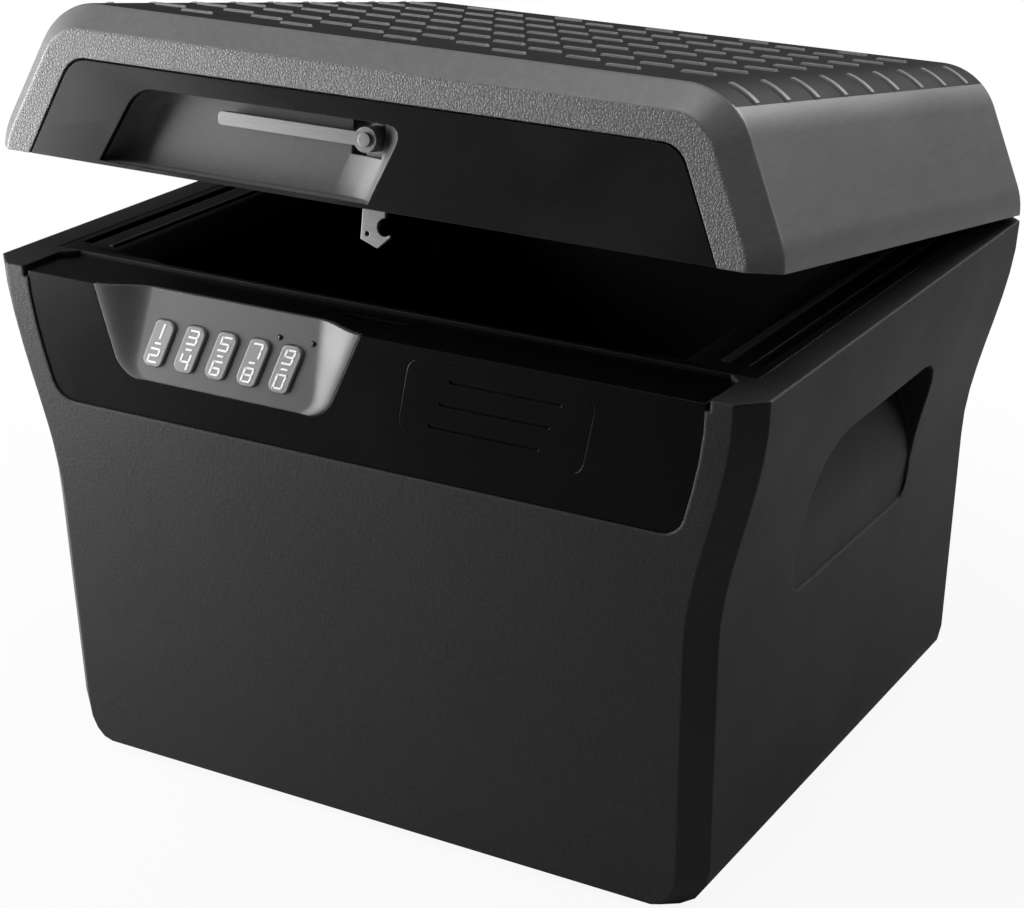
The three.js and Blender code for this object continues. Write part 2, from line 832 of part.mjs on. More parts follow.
const keyXs = Array.from({ length: keyCount }, (_, i) => firstKeyX + keyPitch * i);
const boardDepth = dishThickness + fit + keyFlange + keyTravel + fit;

function makeBezel() {
  const skin = dishBody(
    0, ledgeZ, (z, depth) => faceAt(z) + depth, (z, depth) => faceAt(z) + depth + dishThickness,
  );
  const holes = keyXs.map((x) => onPanel(flatPrism(keyOutline(fit), -overrun, overrun), x, keyCentreZ));
  const lampHoles = lampXs.map((x) => onPanel(
    new THREE.CylinderGeometry(lampRadius + fit, lampRadius + fit, overrun * 2, smallSides)
      .rotateX(Math.PI / 2), x, lampZ,
  ));
  const postLength = boardDepth - fit - dishThickness / 2;
  const posts = postPlaces().map(([x, z]) => onPanel(
    new THREE.CylinderGeometry(postRadius, postRadius, postLength, smallSides)
      .rotateX(Math.PI / 2).translate(0, 0, -dishThickness / 2 - postLength / 2), x, z,
  ));
  return cut(join(skin, ...posts), ...holes, ...lampHoles);
}

// Posts stand above and below the keys and hold the circuit board.
function postPlaces() {
  const left = keyXs[0] - keyPitch / 2;
  const right = keyXs[keyCount - 1] + keyPitch / 2 + boardMargin / 2;
  const low = keyCentreZ - keyHeight / 2 - keyFlange - fit - postRadius;
  return [[left, lampZ], [left, low], [right, low], [(lampXs[0] + keyXs[2]) / 2, lampZ + postRadius]];
}

function makeKey(index) {
  const cap = flatPrism(keyOutline(0), -dishThickness - fit - keyFlange, keyProud);
  const flange = flatPrism(keyOutline(keyFlange), -dishThickness - fit - keyFlange, -dishThickness - fit);
  return onPanel(join(cap, flange), keyXs[index], keyCentreZ);
}

function makeLamp(index) {
  const lens = new THREE.CylinderGeometry(lampRadius, lampRadius, boardDepth - fit + lampProud, smallSides)
    .rotateX(Math.PI / 2).translate(0, 0, (lampProud - boardDepth + fit) / 2);
  const base = new THREE.CylinderGeometry(lampFlangeRadius, lampFlangeRadius, keyFlange, smallSides)
    .rotateX(Math.PI / 2).translate(0, 0, -boardDepth + fit + keyFlange / 2);
  return onPanel(join(lens, base), lampXs[index], lampZ);
}

function makeBoard() {
  const left = keyXs[0] - keyPitch / 2 - boardMargin / 2 - keyCentreX();
  const right = keyXs[keyCount - 1] + keyPitch / 2 + boardMargin - keyCentreX();
  const outline = corners([left, -boardFall], [right, -boardFall], [right, boardRise], [left, boardRise]);
  return onPanel(flatPrism(outline, -boardDepth - boardThickness, -boardDepth), keyCentreX(), keyCentreZ);
}

function keyCentreX() {
  return keyXs[(keyCount - 1) / 2];
}

function coverOutline(grow) {
  return leaningBar(
    coverCentreX, coverCentreZ, coverWidth + grow * 2, coverHeight + grow * 2, coverLeanShare,
    coverCornerRadius + grow,
  );
}

function hookSlot(y) {
  return box(
    hookSlotLeft, hookSlotRight, y - hookSlotWidth / 2, y + hookSlotWidth / 2,
    deckBottom - overrun, lidBottom + overrun,
  );
}

function makeFascia() {
  const backAt = (z) => faceAt(z) + fasciaThickness;
  const face = prismY(fasciaOutline(fit, ledgeZ), faceAt, backAt);
  const ledge = common(
    prismZ(ledgeOutline(0), ledgeZ - fasciaThickness, ledgeZ),
    prismY(corners(
      [-rimHalfWidth, 0], [rimHalfWidth, 0], [rimHalfWidth, caseHeight], [-rimHalfWidth, caseHeight],
    ), faceAt, 0),
  );
  const sideTrim = sides.map((side) => prismY(corners(
    [side * (caseHalfWidth(ledgeZ) - fasciaBorder - fit), 0], [side * caseWidth, 0],
    [side * caseWidth, caseHeight], [side * (caseHalfWidth(ledgeZ) - fasciaBorder - fit), caseHeight],
  ), frontY - overrun, frontY + edgeChamfer));
  const dishFront = (z) => frontAt(z) - overrun;
  const dishRoomBack = (z, depth) => faceAt(z) + depth + dishThickness + fit;
  const dishRoom = dishBody(fit, ledgeZ + overrun, dishFront, dishRoomBack);
  const dishHoleBack = (z, depth) => faceAt(z) + depth + overrun;
  const dishHole = dishBody(fit, ledgeZ - fasciaThickness, dishFront, dishHoleBack);
  const coverHole = prismY(coverOutline(fit), frontY - overrun, (z) => faceAt(z) + coverThickness + fit);
  const bayHole = prismY(coverOutline(-coverRebate), frontY - overrun, 0);
  const bayLimit = box(
    coverCentreX - coverWidth, coverCentreX + coverWidth, frontY - overrun, lockPocketBack,
    fasciaBottom, ledgeZ - fasciaThickness,
  );
  return cut(
    join(face, cut(ledge, ...sideTrim)), dishRoom, dishHole, coverHole, common(bayHole, bayLimit),
    hookSlot(hookMidY),
  );
}

function makeCover() {
  const plate = prismY(coverOutline(0), faceAt, (z) => faceAt(z) + coverThickness);
  const grooves = [-1, 0, 1].map((row) => {
    const z = coverCentreZ + row * gripGroovePitch;
    const x = coverCentreX + row * gripGroovePitch * gripGrooveLeanShare;
    return prismY(
      roundedRectangle(
        x - gripGrooveLength / 2, x + gripGrooveLength / 2, z - gripGrooveWidth / 2, z + gripGrooveWidth / 2,
        gripGrooveWidth * gripGrooveRounding,
      ),
      frontY - overrun, (height) => faceAt(height) + gripGrooveDepth,
    );
  });
  return cut(plate, ...grooves);
}

// Battery tray, cells and contacts
const cellSpan = cellLength * 2 + cellColumnGap;
const cellRow = cellRowPitch / 2;
const trayInnerHalfX = cellSpan / 2 + contactThickness + contactSpringLength + fit * 2;
const trayInnerHalfZ = cellRow + cellRadius + fit;
const trayFrontY = faceAt(cellRowCentreZ - trayInnerHalfZ - trayWall) + fasciaThickness + fit;
const cellY = trayFrontY + trayWall + cellRadius;
const trayInnerBack = cellY + cellRadius + fit;

function makeTray() {
  const outer = box(
    coverCentreX - trayInnerHalfX - trayWall, coverCentreX + trayInnerHalfX + trayWall, trayFrontY,
    trayInnerBack + trayWall, cellRowCentreZ - trayInnerHalfZ - trayWall,
    cellRowCentreZ + trayInnerHalfZ + trayWall,
  );
  const well = box(
    coverCentreX - trayInnerHalfX, coverCentreX + trayInnerHalfX, trayFrontY - overrun,
    trayInnerBack, cellRowCentreZ - trayInnerHalfZ, cellRowCentreZ + trayInnerHalfZ,
  );
  const divider = box(
    coverCentreX - cellColumnGap / 2 + fit, coverCentreX + cellColumnGap / 2 - fit, cellY,
    trayInnerBack + fit, cellRowCentreZ - trayInnerHalfZ - fit, cellRowCentreZ + trayInnerHalfZ + fit,
  );
  return join(cut(outer, well), divider);
}

function makeCell(column, row) {
  const length = cellLength - cellTipLength;
  const x = coverCentreX + column * (cellLength + cellColumnGap) / 2;
  const shell = revolveX([
    [0, 0], [cellRadius, 0], [cellRadius, length], [cellTipRadius, length], [cellTipRadius, cellLength],
    [0, cellLength],
  ], 0, 0, 0);
  if (column * row > 0) shell.rotateZ(Math.PI).translate(cellLength, 0, 0);
  return shell.translate(x - cellLength / 2, cellY, cellRowCentreZ + row * cellRow);
}

function makeContact(side) {
  const wallX = coverCentreX + side * (trayInnerHalfX - fit);
  const plateX = wallX - side * contactThickness;
  const plate = box(
    Math.min(wallX, plateX), Math.max(wallX, plateX), cellY - cellRadius / 2, cellY + cellRadius,
    cellRowCentreZ - trayInnerHalfZ + fit, cellRowCentreZ + trayInnerHalfZ - fit,
  );
  const springs = [-1, 1].map((row) => {
    const cone = revolveX([
      [0, 0], [contactSpringRadius, 0], [contactSpringRadius / 2, contactSpringLength],
      [0, contactSpringLength],
    ], 0, 0, 0, smallSides);
    if (side > 0) cone.rotateZ(Math.PI);
    return cone.translate(plateX, cellY, cellRowCentreZ + row * cellRow);
  });
  return join(plate, ...springs);
}

// Lock bolt, its housing and its solenoid
const armX = boltTipX + boltFingerLength - boltArmWidth;
const armBottomZ = boltZ + boltHeight / 2 - boltArmLength;
const plungerZ = armBottomZ + solenoidRadius;

function makeBolt() {
  const finger = box(
    boltTipX, boltTipX + boltFingerLength, hookMidY - boltWidth / 2, hookMidY + boltWidth / 2,
    boltZ - boltHeight / 2, boltZ + boltHeight / 2,
  );
  const arm = box(
    armX, armX + boltArmWidth, hookMidY - boltWidth / 2, hookMidY + boltWidth / 2,
    armBottomZ, boltZ + boltHeight / 2,
  );
  return join(finger, arm);
}

function makePlunger() {
  return rodX(plungerRadius, armX - fit - plungerReach, armX - fit, hookMidY, plungerZ, smallSides);
}

const solenoidRight = armX - fit - boltTravel - fit * 2;

function makeSolenoid() {
  const left = solenoidRight - solenoidLength;
  const coil = rodX(solenoidRadius, left, solenoidRight, hookMidY, plungerZ);
  const frames = [left, solenoidRight - housingWall].map((x) => box(
    x, x + housingWall, hookMidY - solenoidRadius, hookMidY + solenoidRadius,
    plungerZ - solenoidRadius, plungerZ + solenoidRadius,
  ));
  const bore = rodX(
    plungerRadius + slideFit, left + housingWall, solenoidRight + overrun, hookMidY, plungerZ, smallSides,
  );
  return cut(join(coil, ...frames), bore);
}

function makeHousing() {
  const back = lockPocketBack - fit;
  const top = ledgeZ - fasciaThickness - fit;
  const housingFrontY = frontY + housingFrontInset;
  const housingFloorZ = top - housingHeight;
  const outer = box(housingLeft, housingRight, housingFrontY, back, housingFloorZ, top);
  const well = box(
    housingLeft + housingWall, housingRight - housingWall, housingFrontY - overrun,
    hookMidY + solenoidRadius + fit,
    housingFloorZ + housingWall, top - housingWall,
  );
  const fingerTop = boltZ + boltHeight / 2 + slideFit;
  const fingerLow = boltZ - boltHeight / 2 - slideFit;
  const guideLeft = hookSlotRight;
  const guideRight = armX - boltTravel - fit * 2;
  const deepBack = hookMidY + solenoidRadius + fit * 2;
  const guides = [[fingerLow - housingWall, fingerLow], [fingerTop, top]].map(([low, high]) => box(
    guideLeft - housingWall, housingRight - fit, hookMidY - boltWidth / 2, deepBack, low, high,
  ));
  const armRoom = box(
    guideRight, armX + boltArmWidth + slideFit * 2, housingFrontY - overrun, deepBack - fit,
    armBottomZ - slideFit, fingerTop,
  );
  const cradle = box(
    housingLeft + fit, solenoidRight, hookMidY - solenoidRadius / 2, deepBack, housingFloorZ + fit,
    plungerZ - solenoidRadius - fit,
  );
  return cut(join(cut(outer, well), ...guides, cradle), armRoom, hookSlot(hookMidY));
}

// Lid, drawn closed

function lidRing(inset, y) {
  const side = [new THREE.Vector2(rimHalfWidth - inset, lidBottom)];
  const lowerX = rimHalfWidth - lidLowerRadius;
  const upperX = lidFlatHalfWidth;
  const upperZ = lidTop - lidUpperRadius;
  for (let i = 1; i <= lidLowerSteps; i++) {
    const angle = lidSideAngle * i / lidLowerSteps;
    side.push(new THREE.Vector2(
      lowerX + (lidLowerRadius - inset) * Math.cos(angle),
      lidBottom + (lidLowerRadius - inset) * Math.sin(angle),
    ));
  }
  for (let i = 0; i <= lidUpperSteps; i++) {
    const angle = THREE.MathUtils.lerp(lidSideAngle, Math.PI / 2, i / lidUpperSteps);
    side.push(new THREE.Vector2(
      upperX + (lidUpperRadius - inset) * Math.cos(angle),
      upperZ + (lidUpperRadius - inset) * Math.sin(angle),
    ));
  }
  const mirrored = side.map((p) => new THREE.Vector2(-p.x, p.y)).reverse();
  return [...side, ...mirrored].map((p) => new THREE.Vector3(p.x, y, p.y));
}

function lidBody(inset) {
  return loft([
    lidRing(inset + edgeChamfer, lidFront + inset),
    lidRing(inset, lidFront + inset + edgeChamfer),
    lidRing(inset, backY - inset - edgeChamfer),
    lidRing(inset + edgeChamfer, backY - inset),
  ]);
}

function lidFasciaOutline(inset, bottom) {
  const top = lidBottom + lidFasciaHeight - inset;
  const half = lidFasciaHalfWidth - inset;
  const topHalf = lidFasciaTopHalfWidth - inset;
  return rounded(
    corners([-half, bottom], [half, bottom], [half, lidBottom], [topHalf, top], [-topHalf, top], [-half, lidBottom]),
    [0, 0, 0, lidFasciaCornerRadius, lidFasciaCornerRadius, 0],
  );
}

// One straight tread bar with sloped ends, across the flat top.
function treadBar(x, y) {
  const foot = lidTop - treadHeight;
  const half = treadLength / 2;
  const profile = corners(
    [x - half - treadSlope, foot], [x + half + treadSlope, foot],
    [x + half, lidTop + treadHeight], [x - half, lidTop + treadHeight],
  );
  return prismY(profile, y - treadWidth / 2, y + treadWidth / 2);
}

// A bar that bends over the lid's round shoulder.
function shoulderBar(side, y) {
  const centreZ = lidTop - lidUpperRadius;
  const startAngle = Math.acos(shoulderBarOffset / lidUpperRadius);
  const sweep = shoulderBarRun / lidUpperRadius;
  const arc = (radius, trim) => Array.from({ length: sweepSteps + 1 }, (_, i) => {
    const angle = startAngle - trim - (sweep - trim * 2) * i / sweepSteps;
    return new THREE.Vector2(
      side * (lidFlatHalfWidth + radius * Math.cos(angle)), centreZ + radius * Math.sin(angle),
    );
  });
  const outer = arc(lidUpperRadius + treadHeight, treadSlope / lidUpperRadius);
  const inner = arc(lidUpperRadius - treadHeight, 0).reverse();
  return prismY([...outer, ...inner], y - treadWidth / 2, y + treadWidth / 2);
}

function treadBars() {
  const bars = [];
  const treadColumns = Math.floor((lidFlatHalfWidth - treadLength / 2) / treadPitchX);
  const pairs = Math.floor((backY - edgeChamfer - treadWidth) / treadPitchY);
  for (let column = -treadColumns - 1; column <= treadColumns + 1; column++) {
    const rows = column % 2 === 0 ? pairs * 2 + 1 : pairs * 2;
    for (let row = 0; row < rows; row++) {
      const y = (row - (rows - 1) / 2) * treadPitchY;
      if (Math.abs(column) > treadColumns) bars.push(shoulderBar(Math.sign(column), y));
      else bars.push(treadBar(column * treadPitchX, y));
    }
  }
  return bars;
}

function caseLugNotches() {
  return sides.flatMap((side) => [-1, 1].map((slot) => hingeNotch(hingeSpan(side, slot))));
}

function makeLidShell() {
  const outer = lidBody(0);
  const inner = join(lidBody(lidWall), lidBody(lidWall).translate(0, 0, -overrun));
  const opening = prismY(
    lidFasciaOutline(0, lidBottom - overrun), lidFront - overrun, lidFront + lidWall + fit,
  );
  const hollow = cut(join(outer, ...treadBars()), inner, opening);
  const lugs = sides.map((side) => hingeLug(hingeSpan(side, 0), 1));
  return cut(join(hollow, ...lugs), ...caseLugNotches(), ...sides.map(pinBore));
}

function behind(y, bottom) {
  return box(-rimHalfWidth, rimHalfWidth, y, backY + overrun, bottom, lidTop + overrun);
}

function lidLugPads() {
  return sides.map((side) => {
    const [left, right] = hingeSpan(side, 0);
    return box(
      left - fit, right + fit, backY - hingeWebDepth - fit, backY + overrun, lidBottom - overrun,
      hingeZ + hingeWebDrop + fit,
    );
  });
}

function makeLidInsulation() {
  const bottom = lidBottom + fit + lidLinerThickness + fit;
  return cut(
    common(lidBody(lidWall + fit), behind(lidCoreFront, bottom)),
    ...caseLugNotches(), ...lidLugPads(),
  );
}

function makeLidLiner() {
  const bottom = lidBottom + fit;
  const plate = common(
    lidBody(lidWall + fit), behind(lidCoreFront, bottom),
    box(-rimHalfWidth, rimHalfWidth, frontY, backY, bottom, bottom + lidLinerThickness),
  );
  const tongue = grooveTool(tongueGrooveX, grooveBackY, tongueWidth, lidBottom - tongueDepth, bottom + fit);
  const frontTrim = box(
    -rimHalfWidth, rimHalfWidth, frontY, grooveFrontY + tongueWidth, lidBottom - tongueDepth - overrun,
    lidBottom,
  );
  return cut(join(plate, cut(tongue, frontTrim)), ...caseLugNotches(), ...lidLugPads());
}

function recessSpan(z, grow) {
  const risen = (z - lidBottom) / recessHeight;
  const radius = recessCornerRadius + grow;
  const top = lidBottom + recessHeight + grow;
  const high = THREE.MathUtils.clamp(radius - (top - z), 0, radius);
  const pull = radius - Math.sqrt(radius ** 2 - high ** 2);
  return [
    THREE.MathUtils.lerp(recessLeftFoot, recessLeftTop, risen) - grow + pull,
    THREE.MathUtils.lerp(recessRightFoot, recessRightTop, risen) + grow - pull,
  ];
}

// The hand recess in the lid front: steep on the left, a long round run-out on the right.
function recessBody(grow, bottom, front) {
  const top = lidBottom + recessHeight + grow;
  const radius = recessCornerRadius + grow;
  const levels = [bottom];
  for (let i = 0; i < sweepSteps; i++) {
    levels.push(top - radius * (1 - Math.sin(Math.PI / 2 * i / sweepSteps)));
  }
  levels.push(top);
  const face = lidFront + lidFasciaRecess;
  const back = recessBackY + grow;
  const rings = levels.map((z) => {
    const [left, right] = recessSpan(z, grow);
    const points = [[left, front], [right, front]];
    for (let i = 0; i <= sweepSteps; i++) {
      const angle = Math.PI / 2 * i / sweepSteps;
      const x = right - recessRightRun * (1 - Math.cos(angle));
      points.push([x, THREE.MathUtils.lerp(face, back, Math.sin(angle))]);
    }
    for (let i = sweepSteps; i >= 0; i--) {
      const angle = Math.PI / 2 * i / sweepSteps;
      const x = left + recessLeftRun * (1 - Math.cos(angle));
      points.push([x, THREE.MathUtils.lerp(face, back, Math.sin(angle))]);
    }
    return points.map(([x, y]) => new THREE.Vector3(x, y, z));
  });
  return loft(rings);
}

function leverWindow() {
  const left = pivotX - leverBossRadius * 2;
  const right = pivotX + leverBossRadius + fit * 3;
  const top = lidBottom + recessHeight - recessWall;
  return box(
    left, right, lidFront + leverInset - fit * 2, recessBackY + overrun, pivotZ - leverBossRadius * 1.4,
    top,
  );
}

function makeRecessTub() {
  const wallFront = lidFront + lidFasciaRecess + lidFasciaThickness + fit;
  const outer = common(
    recessBody(recessWall, lidBottom, lidFront - overrun),
    box(-rimHalfWidth, rimHalfWidth, wallFront, 0, lidBottom - overrun, lidTop),
  );
  return cut(outer, recessBody(0, recessFloorZ, lidFront - overrun * 2), leverWindow());
}

function makeLidFascia() {
  const face = lidFront + lidFasciaRecess;
  const plate = prismY(lidFasciaOutline(lidFasciaGroove, lidBottom), face, face + lidFasciaThickness);
  const sill = prismY(
    corners(
      [-lidFasciaHalfWidth + lidWall, lidBottom], [lidFasciaHalfWidth - lidWall, lidBottom],
      [lidFasciaHalfWidth - lidWall, recessFloorZ], [-lidFasciaHalfWidth + lidWall, recessFloorZ],
    ),
    face, lidCoreFront - fit,
  );
  const tubRoom = common(
    recessBody(recessWall + fit, lidBottom - overrun, lidFront - overrun),
    box(-rimHalfWidth, rimHalfWidth, face + lidFasciaThickness, 0, lidBottom - overrun, lidTop),
  );
  return cut(
    join(plate, sill), tubRoom, recessBody(0, recessFloorZ, lidFront - overrun * 2), hookSlot(hookMidY),
  );
}

// Latch, drawn about its pivot
const leverFrontY = lidFront + leverInset;
const leverBackY = leverFrontY + leverWidth;

function makeLever() {
  const bar = prismY(
    rounded(corners(
      [-leverLength, -leverHeight / 2], [0, -leverHeight / 2], [0, leverHeight / 2],
      [-leverLength, leverHeight / 2],
    ), [leverHeight / 3, 0, 0, leverHeight / 3]),
    leverFrontY, leverBackY,
  );
  const boss = rodY(leverBossRadius, leverFrontY, hookFrontY - fit, 0, 0);
  return cut(join(bar, boss), rodY(pivotRadius + fit, leverFrontY - overrun, hookBackY, 0, 0, smallSides));
}

function makeHook() {
  const drop = (value) => -pivotRise - value;
  const left = hookLeft - pivotX;
  const right = left + hookStemWidth;
  const blade = prismY(corners(
    [left, 0], [left, drop(hookHeelDrop)], [hookTipX - pivotX, drop(hookTipDrop)],
    [hookBarbX - pivotX, drop(hookBarbDrop)], [hookBarbX - pivotX, drop(hookNotchDrop)],
    [right, drop(hookShoulderDrop)], [right, 0],
  ), hookFrontY, hookBackY);
  const eye = rodY(Math.max(-left, right), hookFrontY, hookBackY, 0, 0);
  const notch = rodY(
    hookNotchRadius, hookFrontY - fit, hookBackY + fit, hookNotchX - pivotX, drop(hookNotchDrop),
  );
  const hole = rodY(
    hookHoleRadius, hookFrontY - fit, hookBackY + fit, hookHoleX - pivotX, drop(hookHoleDrop),
    smallSides,
  );
  const eyeHole = rodY(pivotRadius + fit, hookFrontY - fit, hookBackY + fit, 0, 0, smallSides);
  return cut(join(blade, eye), notch, hole, eyeHole);
}

function makePivotPin() {
  const shank = rodY(
    pivotRadius, leverFrontY - fit * 2, bracketFrontY + bracketThickness, pivotX, pivotZ, smallSides,
  );
  const head = rodY(
    pivotHeadRadius, leverFrontY - fit - bracketThickness / 2, leverFrontY - fit, pivotX, pivotZ,
    smallSides,
  );
  return join(shank, head);
}

function makeBracket() {
  const plate = box(
    pivotX - bracketHalfWidth, pivotX + bracketHalfWidth, bracketFrontY, bracketFrontY + bracketThickness,
    pivotZ - bracketDrop, pivotZ + bracketHalfWidth,
  );
  return cut(plate, rodY(pivotRadius + fit, bracketFrontY - fit, lidCoreFront, pivotX, pivotZ, smallSides));
}

// A pin pressed in flush, just inside the outer lugs.
function makeHingePin(side) {
  const left = hingeSpan(side, -1)[0] + hingePinInset;
  const right = hingeSpan(side, 1)[1] - hingePinInset;
  return rodX(hingePinRadius, left, right, backY, hingeZ);
}

// Assembly

addPiece(object, 'case_shell', makeCaseShell(), moulded);
addPiece(object, 'case_insulation', makeInsulation(), fill);
addPiece(object, 'case_liner', makeLiner(), lining);
addPiece(object, 'case_deck', makeDeck(), moulded);
addPiece(object, 'case_gasket', makeGasket(), rubber);
addPiece(object, 'front_fascia', makeFascia(), satinBlack);
addPiece(object, 'keypad_bezel', makeBezel(), silverPaint);
keyXs.forEach((_, i) => addPiece(object, `key_${2 * i + 1}_${(2 * i + 2) % 10}`, makeKey(i), keyPlastic));
['lamp_left', 'lamp_right'].forEach((name, i) => addPiece(object, name, makeLamp(i), lampPlastic));
addPiece(object, 'keypad_board', makeBoard(), boardGreen);
addPiece(object, 'battery_cover', makeCover(), satinBlack);
addPiece(object, 'battery_tray', makeTray(), lining);
for (const [name, column, row] of [
  ['battery_lower_left', -1, -1], ['battery_lower_right', 1, -1],
  ['battery_upper_left', -1, 1], ['battery_upper_right', 1, 1],
]) addPiece(object, name, makeCell(column, row), cellWrap);
addPiece(object, 'battery_contact_left', makeContact(-1), steel);
addPiece(object, 'battery_contact_right', makeContact(1), steel);
addPiece(object, 'lock_housing', makeHousing(), lining);
addPiece(object, 'lock_solenoid', makeSolenoid(), steel);
addPiece(object, 'lock_bolt', makeBolt(), steel);
addPiece(object, 'lock_plunger', makePlunger(), steel);
addPiece(object, 'hinge_pin_left', makeHingePin(-1), steel);
addPiece(object, 'hinge_pin_right', makeHingePin(1), steel);

// The lid group turns about the hinge axis, and its pieces are drawn closed.
const toHinge = (geometry) => geometry.translate(0, -backY, -hingeZ);
lid.position.set(0, backY, hingeZ);
lid.rotation.x = -lidOpenAngle;
addPiece(lid, 'lid_shell', toHinge(makeLidShell()), grained);
addPiece(lid, 'lid_insulation', toHinge(makeLidInsulation()), fill);
addPiece(lid, 'lid_liner', toHinge(makeLidLiner()), lining);
addPiece(lid, 'lid_fascia', toHinge(makeLidFascia()), satinBlack);
addPiece(lid, 'lid_recess_tub', toHinge(makeRecessTub()), lining);
addPiece(lid, 'latch_bracket', toHinge(makeBracket()), steel);
addPiece(lid, 'latch_pivot_pin', toHinge(makePivotPin()), steel);

// The latch turns about its pivot pin. It is drawn with the lever raised, clear of the bolt.
latch.position.set(pivotX, -backY, pivotZ - hingeZ);
addPiece(latch, 'latch_lever', makeLever(), steel);
addPiece(latch, 'latch_hook', makeHook(), steel);

object.updateMatrixWorld(true);

export default object;
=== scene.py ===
"""A fire resistant chest with a keypad lock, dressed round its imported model.

Lengths are in metres, +Z is up and the chest's front faces -Y.
"""

import json
import logging
import math
from dataclasses import dataclass
from enum import Enum
from typing import Iterable, Sequence

import bmesh
import bpy
from mathutils import Matrix, Vector


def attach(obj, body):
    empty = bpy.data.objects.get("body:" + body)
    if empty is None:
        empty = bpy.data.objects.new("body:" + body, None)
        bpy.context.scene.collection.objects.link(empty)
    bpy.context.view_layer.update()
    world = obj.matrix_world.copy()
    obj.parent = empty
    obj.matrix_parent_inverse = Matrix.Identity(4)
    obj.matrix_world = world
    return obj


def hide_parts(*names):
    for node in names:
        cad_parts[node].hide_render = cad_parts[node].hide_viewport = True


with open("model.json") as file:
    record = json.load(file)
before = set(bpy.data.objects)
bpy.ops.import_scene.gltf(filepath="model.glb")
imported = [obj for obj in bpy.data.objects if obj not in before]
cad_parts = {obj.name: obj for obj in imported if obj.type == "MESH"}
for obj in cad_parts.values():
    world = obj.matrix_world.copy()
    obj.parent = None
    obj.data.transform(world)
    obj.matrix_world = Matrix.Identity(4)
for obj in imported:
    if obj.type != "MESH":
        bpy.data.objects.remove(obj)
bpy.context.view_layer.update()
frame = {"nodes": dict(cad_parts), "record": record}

log = logging.getLogger("chest")
PHOTO_WIDTH = 1024
MERGE_DISTANCE = 2e-6
CAP_MERGE_DISTANCE = 1e-7
BEVEL_ANGLE = math.radians(38)

Ring = list[Vector]
Point = tuple[float, float]
Outline = list[Point]


class Grain(Enum):
    """The surface textures that the chest's finishes are moulded or worked with."""

    FINE = "fine spark texture"
    LEATHER = "leather grain"
    SATIN = "satin with faint streaks"
    BRUSHED = "brushed metal"
    POROUS = "foamed fill"


@dataclass(frozen=True)
class LidPose:
    """Where the lid stands at rest, turned open about the hinge line."""

    hinge_y: float = 0.1755
    hinge_z: float = 0.2706
    open_angle: float = math.radians(9.16)

    def matrix(self) -> Matrix:
        """Returns the turn from the closed lid to the lid at rest."""
        move = Matrix.Translation((0.0, self.hinge_y, self.hinge_z))
        return move @ Matrix.Rotation(-self.open_angle, 4, "X") @ move.inverted()


# Shader groups


class ShaderGroup:
    """A node group for an effect that several materials use."""

    def __init__(
        self, name: str, inputs: Sequence[tuple[str, str, float]], outputs: Sequence[tuple[str, str]],
    ) -> None:
        """Makes the empty group with its named sockets.

        Args:
            name: The group's name.
            inputs: Socket name, socket type and default of each input.
            outputs: Socket name and socket type of each output.
        """
        self.tree = bpy.data.node_groups.new(name, "ShaderNodeTree")
        for label, kind, default in inputs:
            socket = self.tree.interface.new_socket(label, in_out="INPUT", socket_type=kind)
            if kind == "NodeSocketFloat":
                socket.default_value = default
        for label, kind in outputs:
            self.tree.interface.new_socket(label, in_out="OUTPUT", socket_type=kind)
        self.source = self.tree.nodes.new("NodeGroupInput")
        self.sink = self.tree.nodes.new("NodeGroupOutput")

    def node(self, kind: str, **values: object) -> bpy.types.Node:
        """Adds a node to the group.

        Args:
            kind: The node's type.
            **values: Properties to set on it.

        Returns:
            The new node.
        """
        return add_node(self.tree, kind, **values)

    def link(self, start: bpy.types.NodeSocket, end: bpy.types.NodeSocket) -> None:
        """Links one socket to another."""
        self.tree.links.new(start, end)

    def share(self, value: bpy.types.NodeSocket, span: Point, soft: bool = False) -> bpy.types.NodeSocket:
        """Maps a value in a span to a share between 0 and 1.

        Args:
            value: The value's socket.
            span: The values that become 0 and 1.
            soft: Whether the share eases in and out.

        Returns:
            The share's socket.
        """
        node = self.node("ShaderNodeMapRange", interpolation_type="SMOOTHSTEP" if soft else "LINEAR")
        node.inputs["From Min"].default_value, node.inputs["From Max"].default_value = span
        self.link(value, node.inputs["Value"])
        return node.outputs["Result"]


def add_node(tree: bpy.types.NodeTree, kind: str, **values: object) -> bpy.types.Node:
    """Adds a node to a tree.

    Args:
        tree: The tree to add to.
        kind: The node's type.
        **values: Properties to set on the node.

    Returns:
        The new node.
    """
    node = tree.nodes.new(kind)
    for key, value in values.items():
        setattr(node, key, value)
    return node


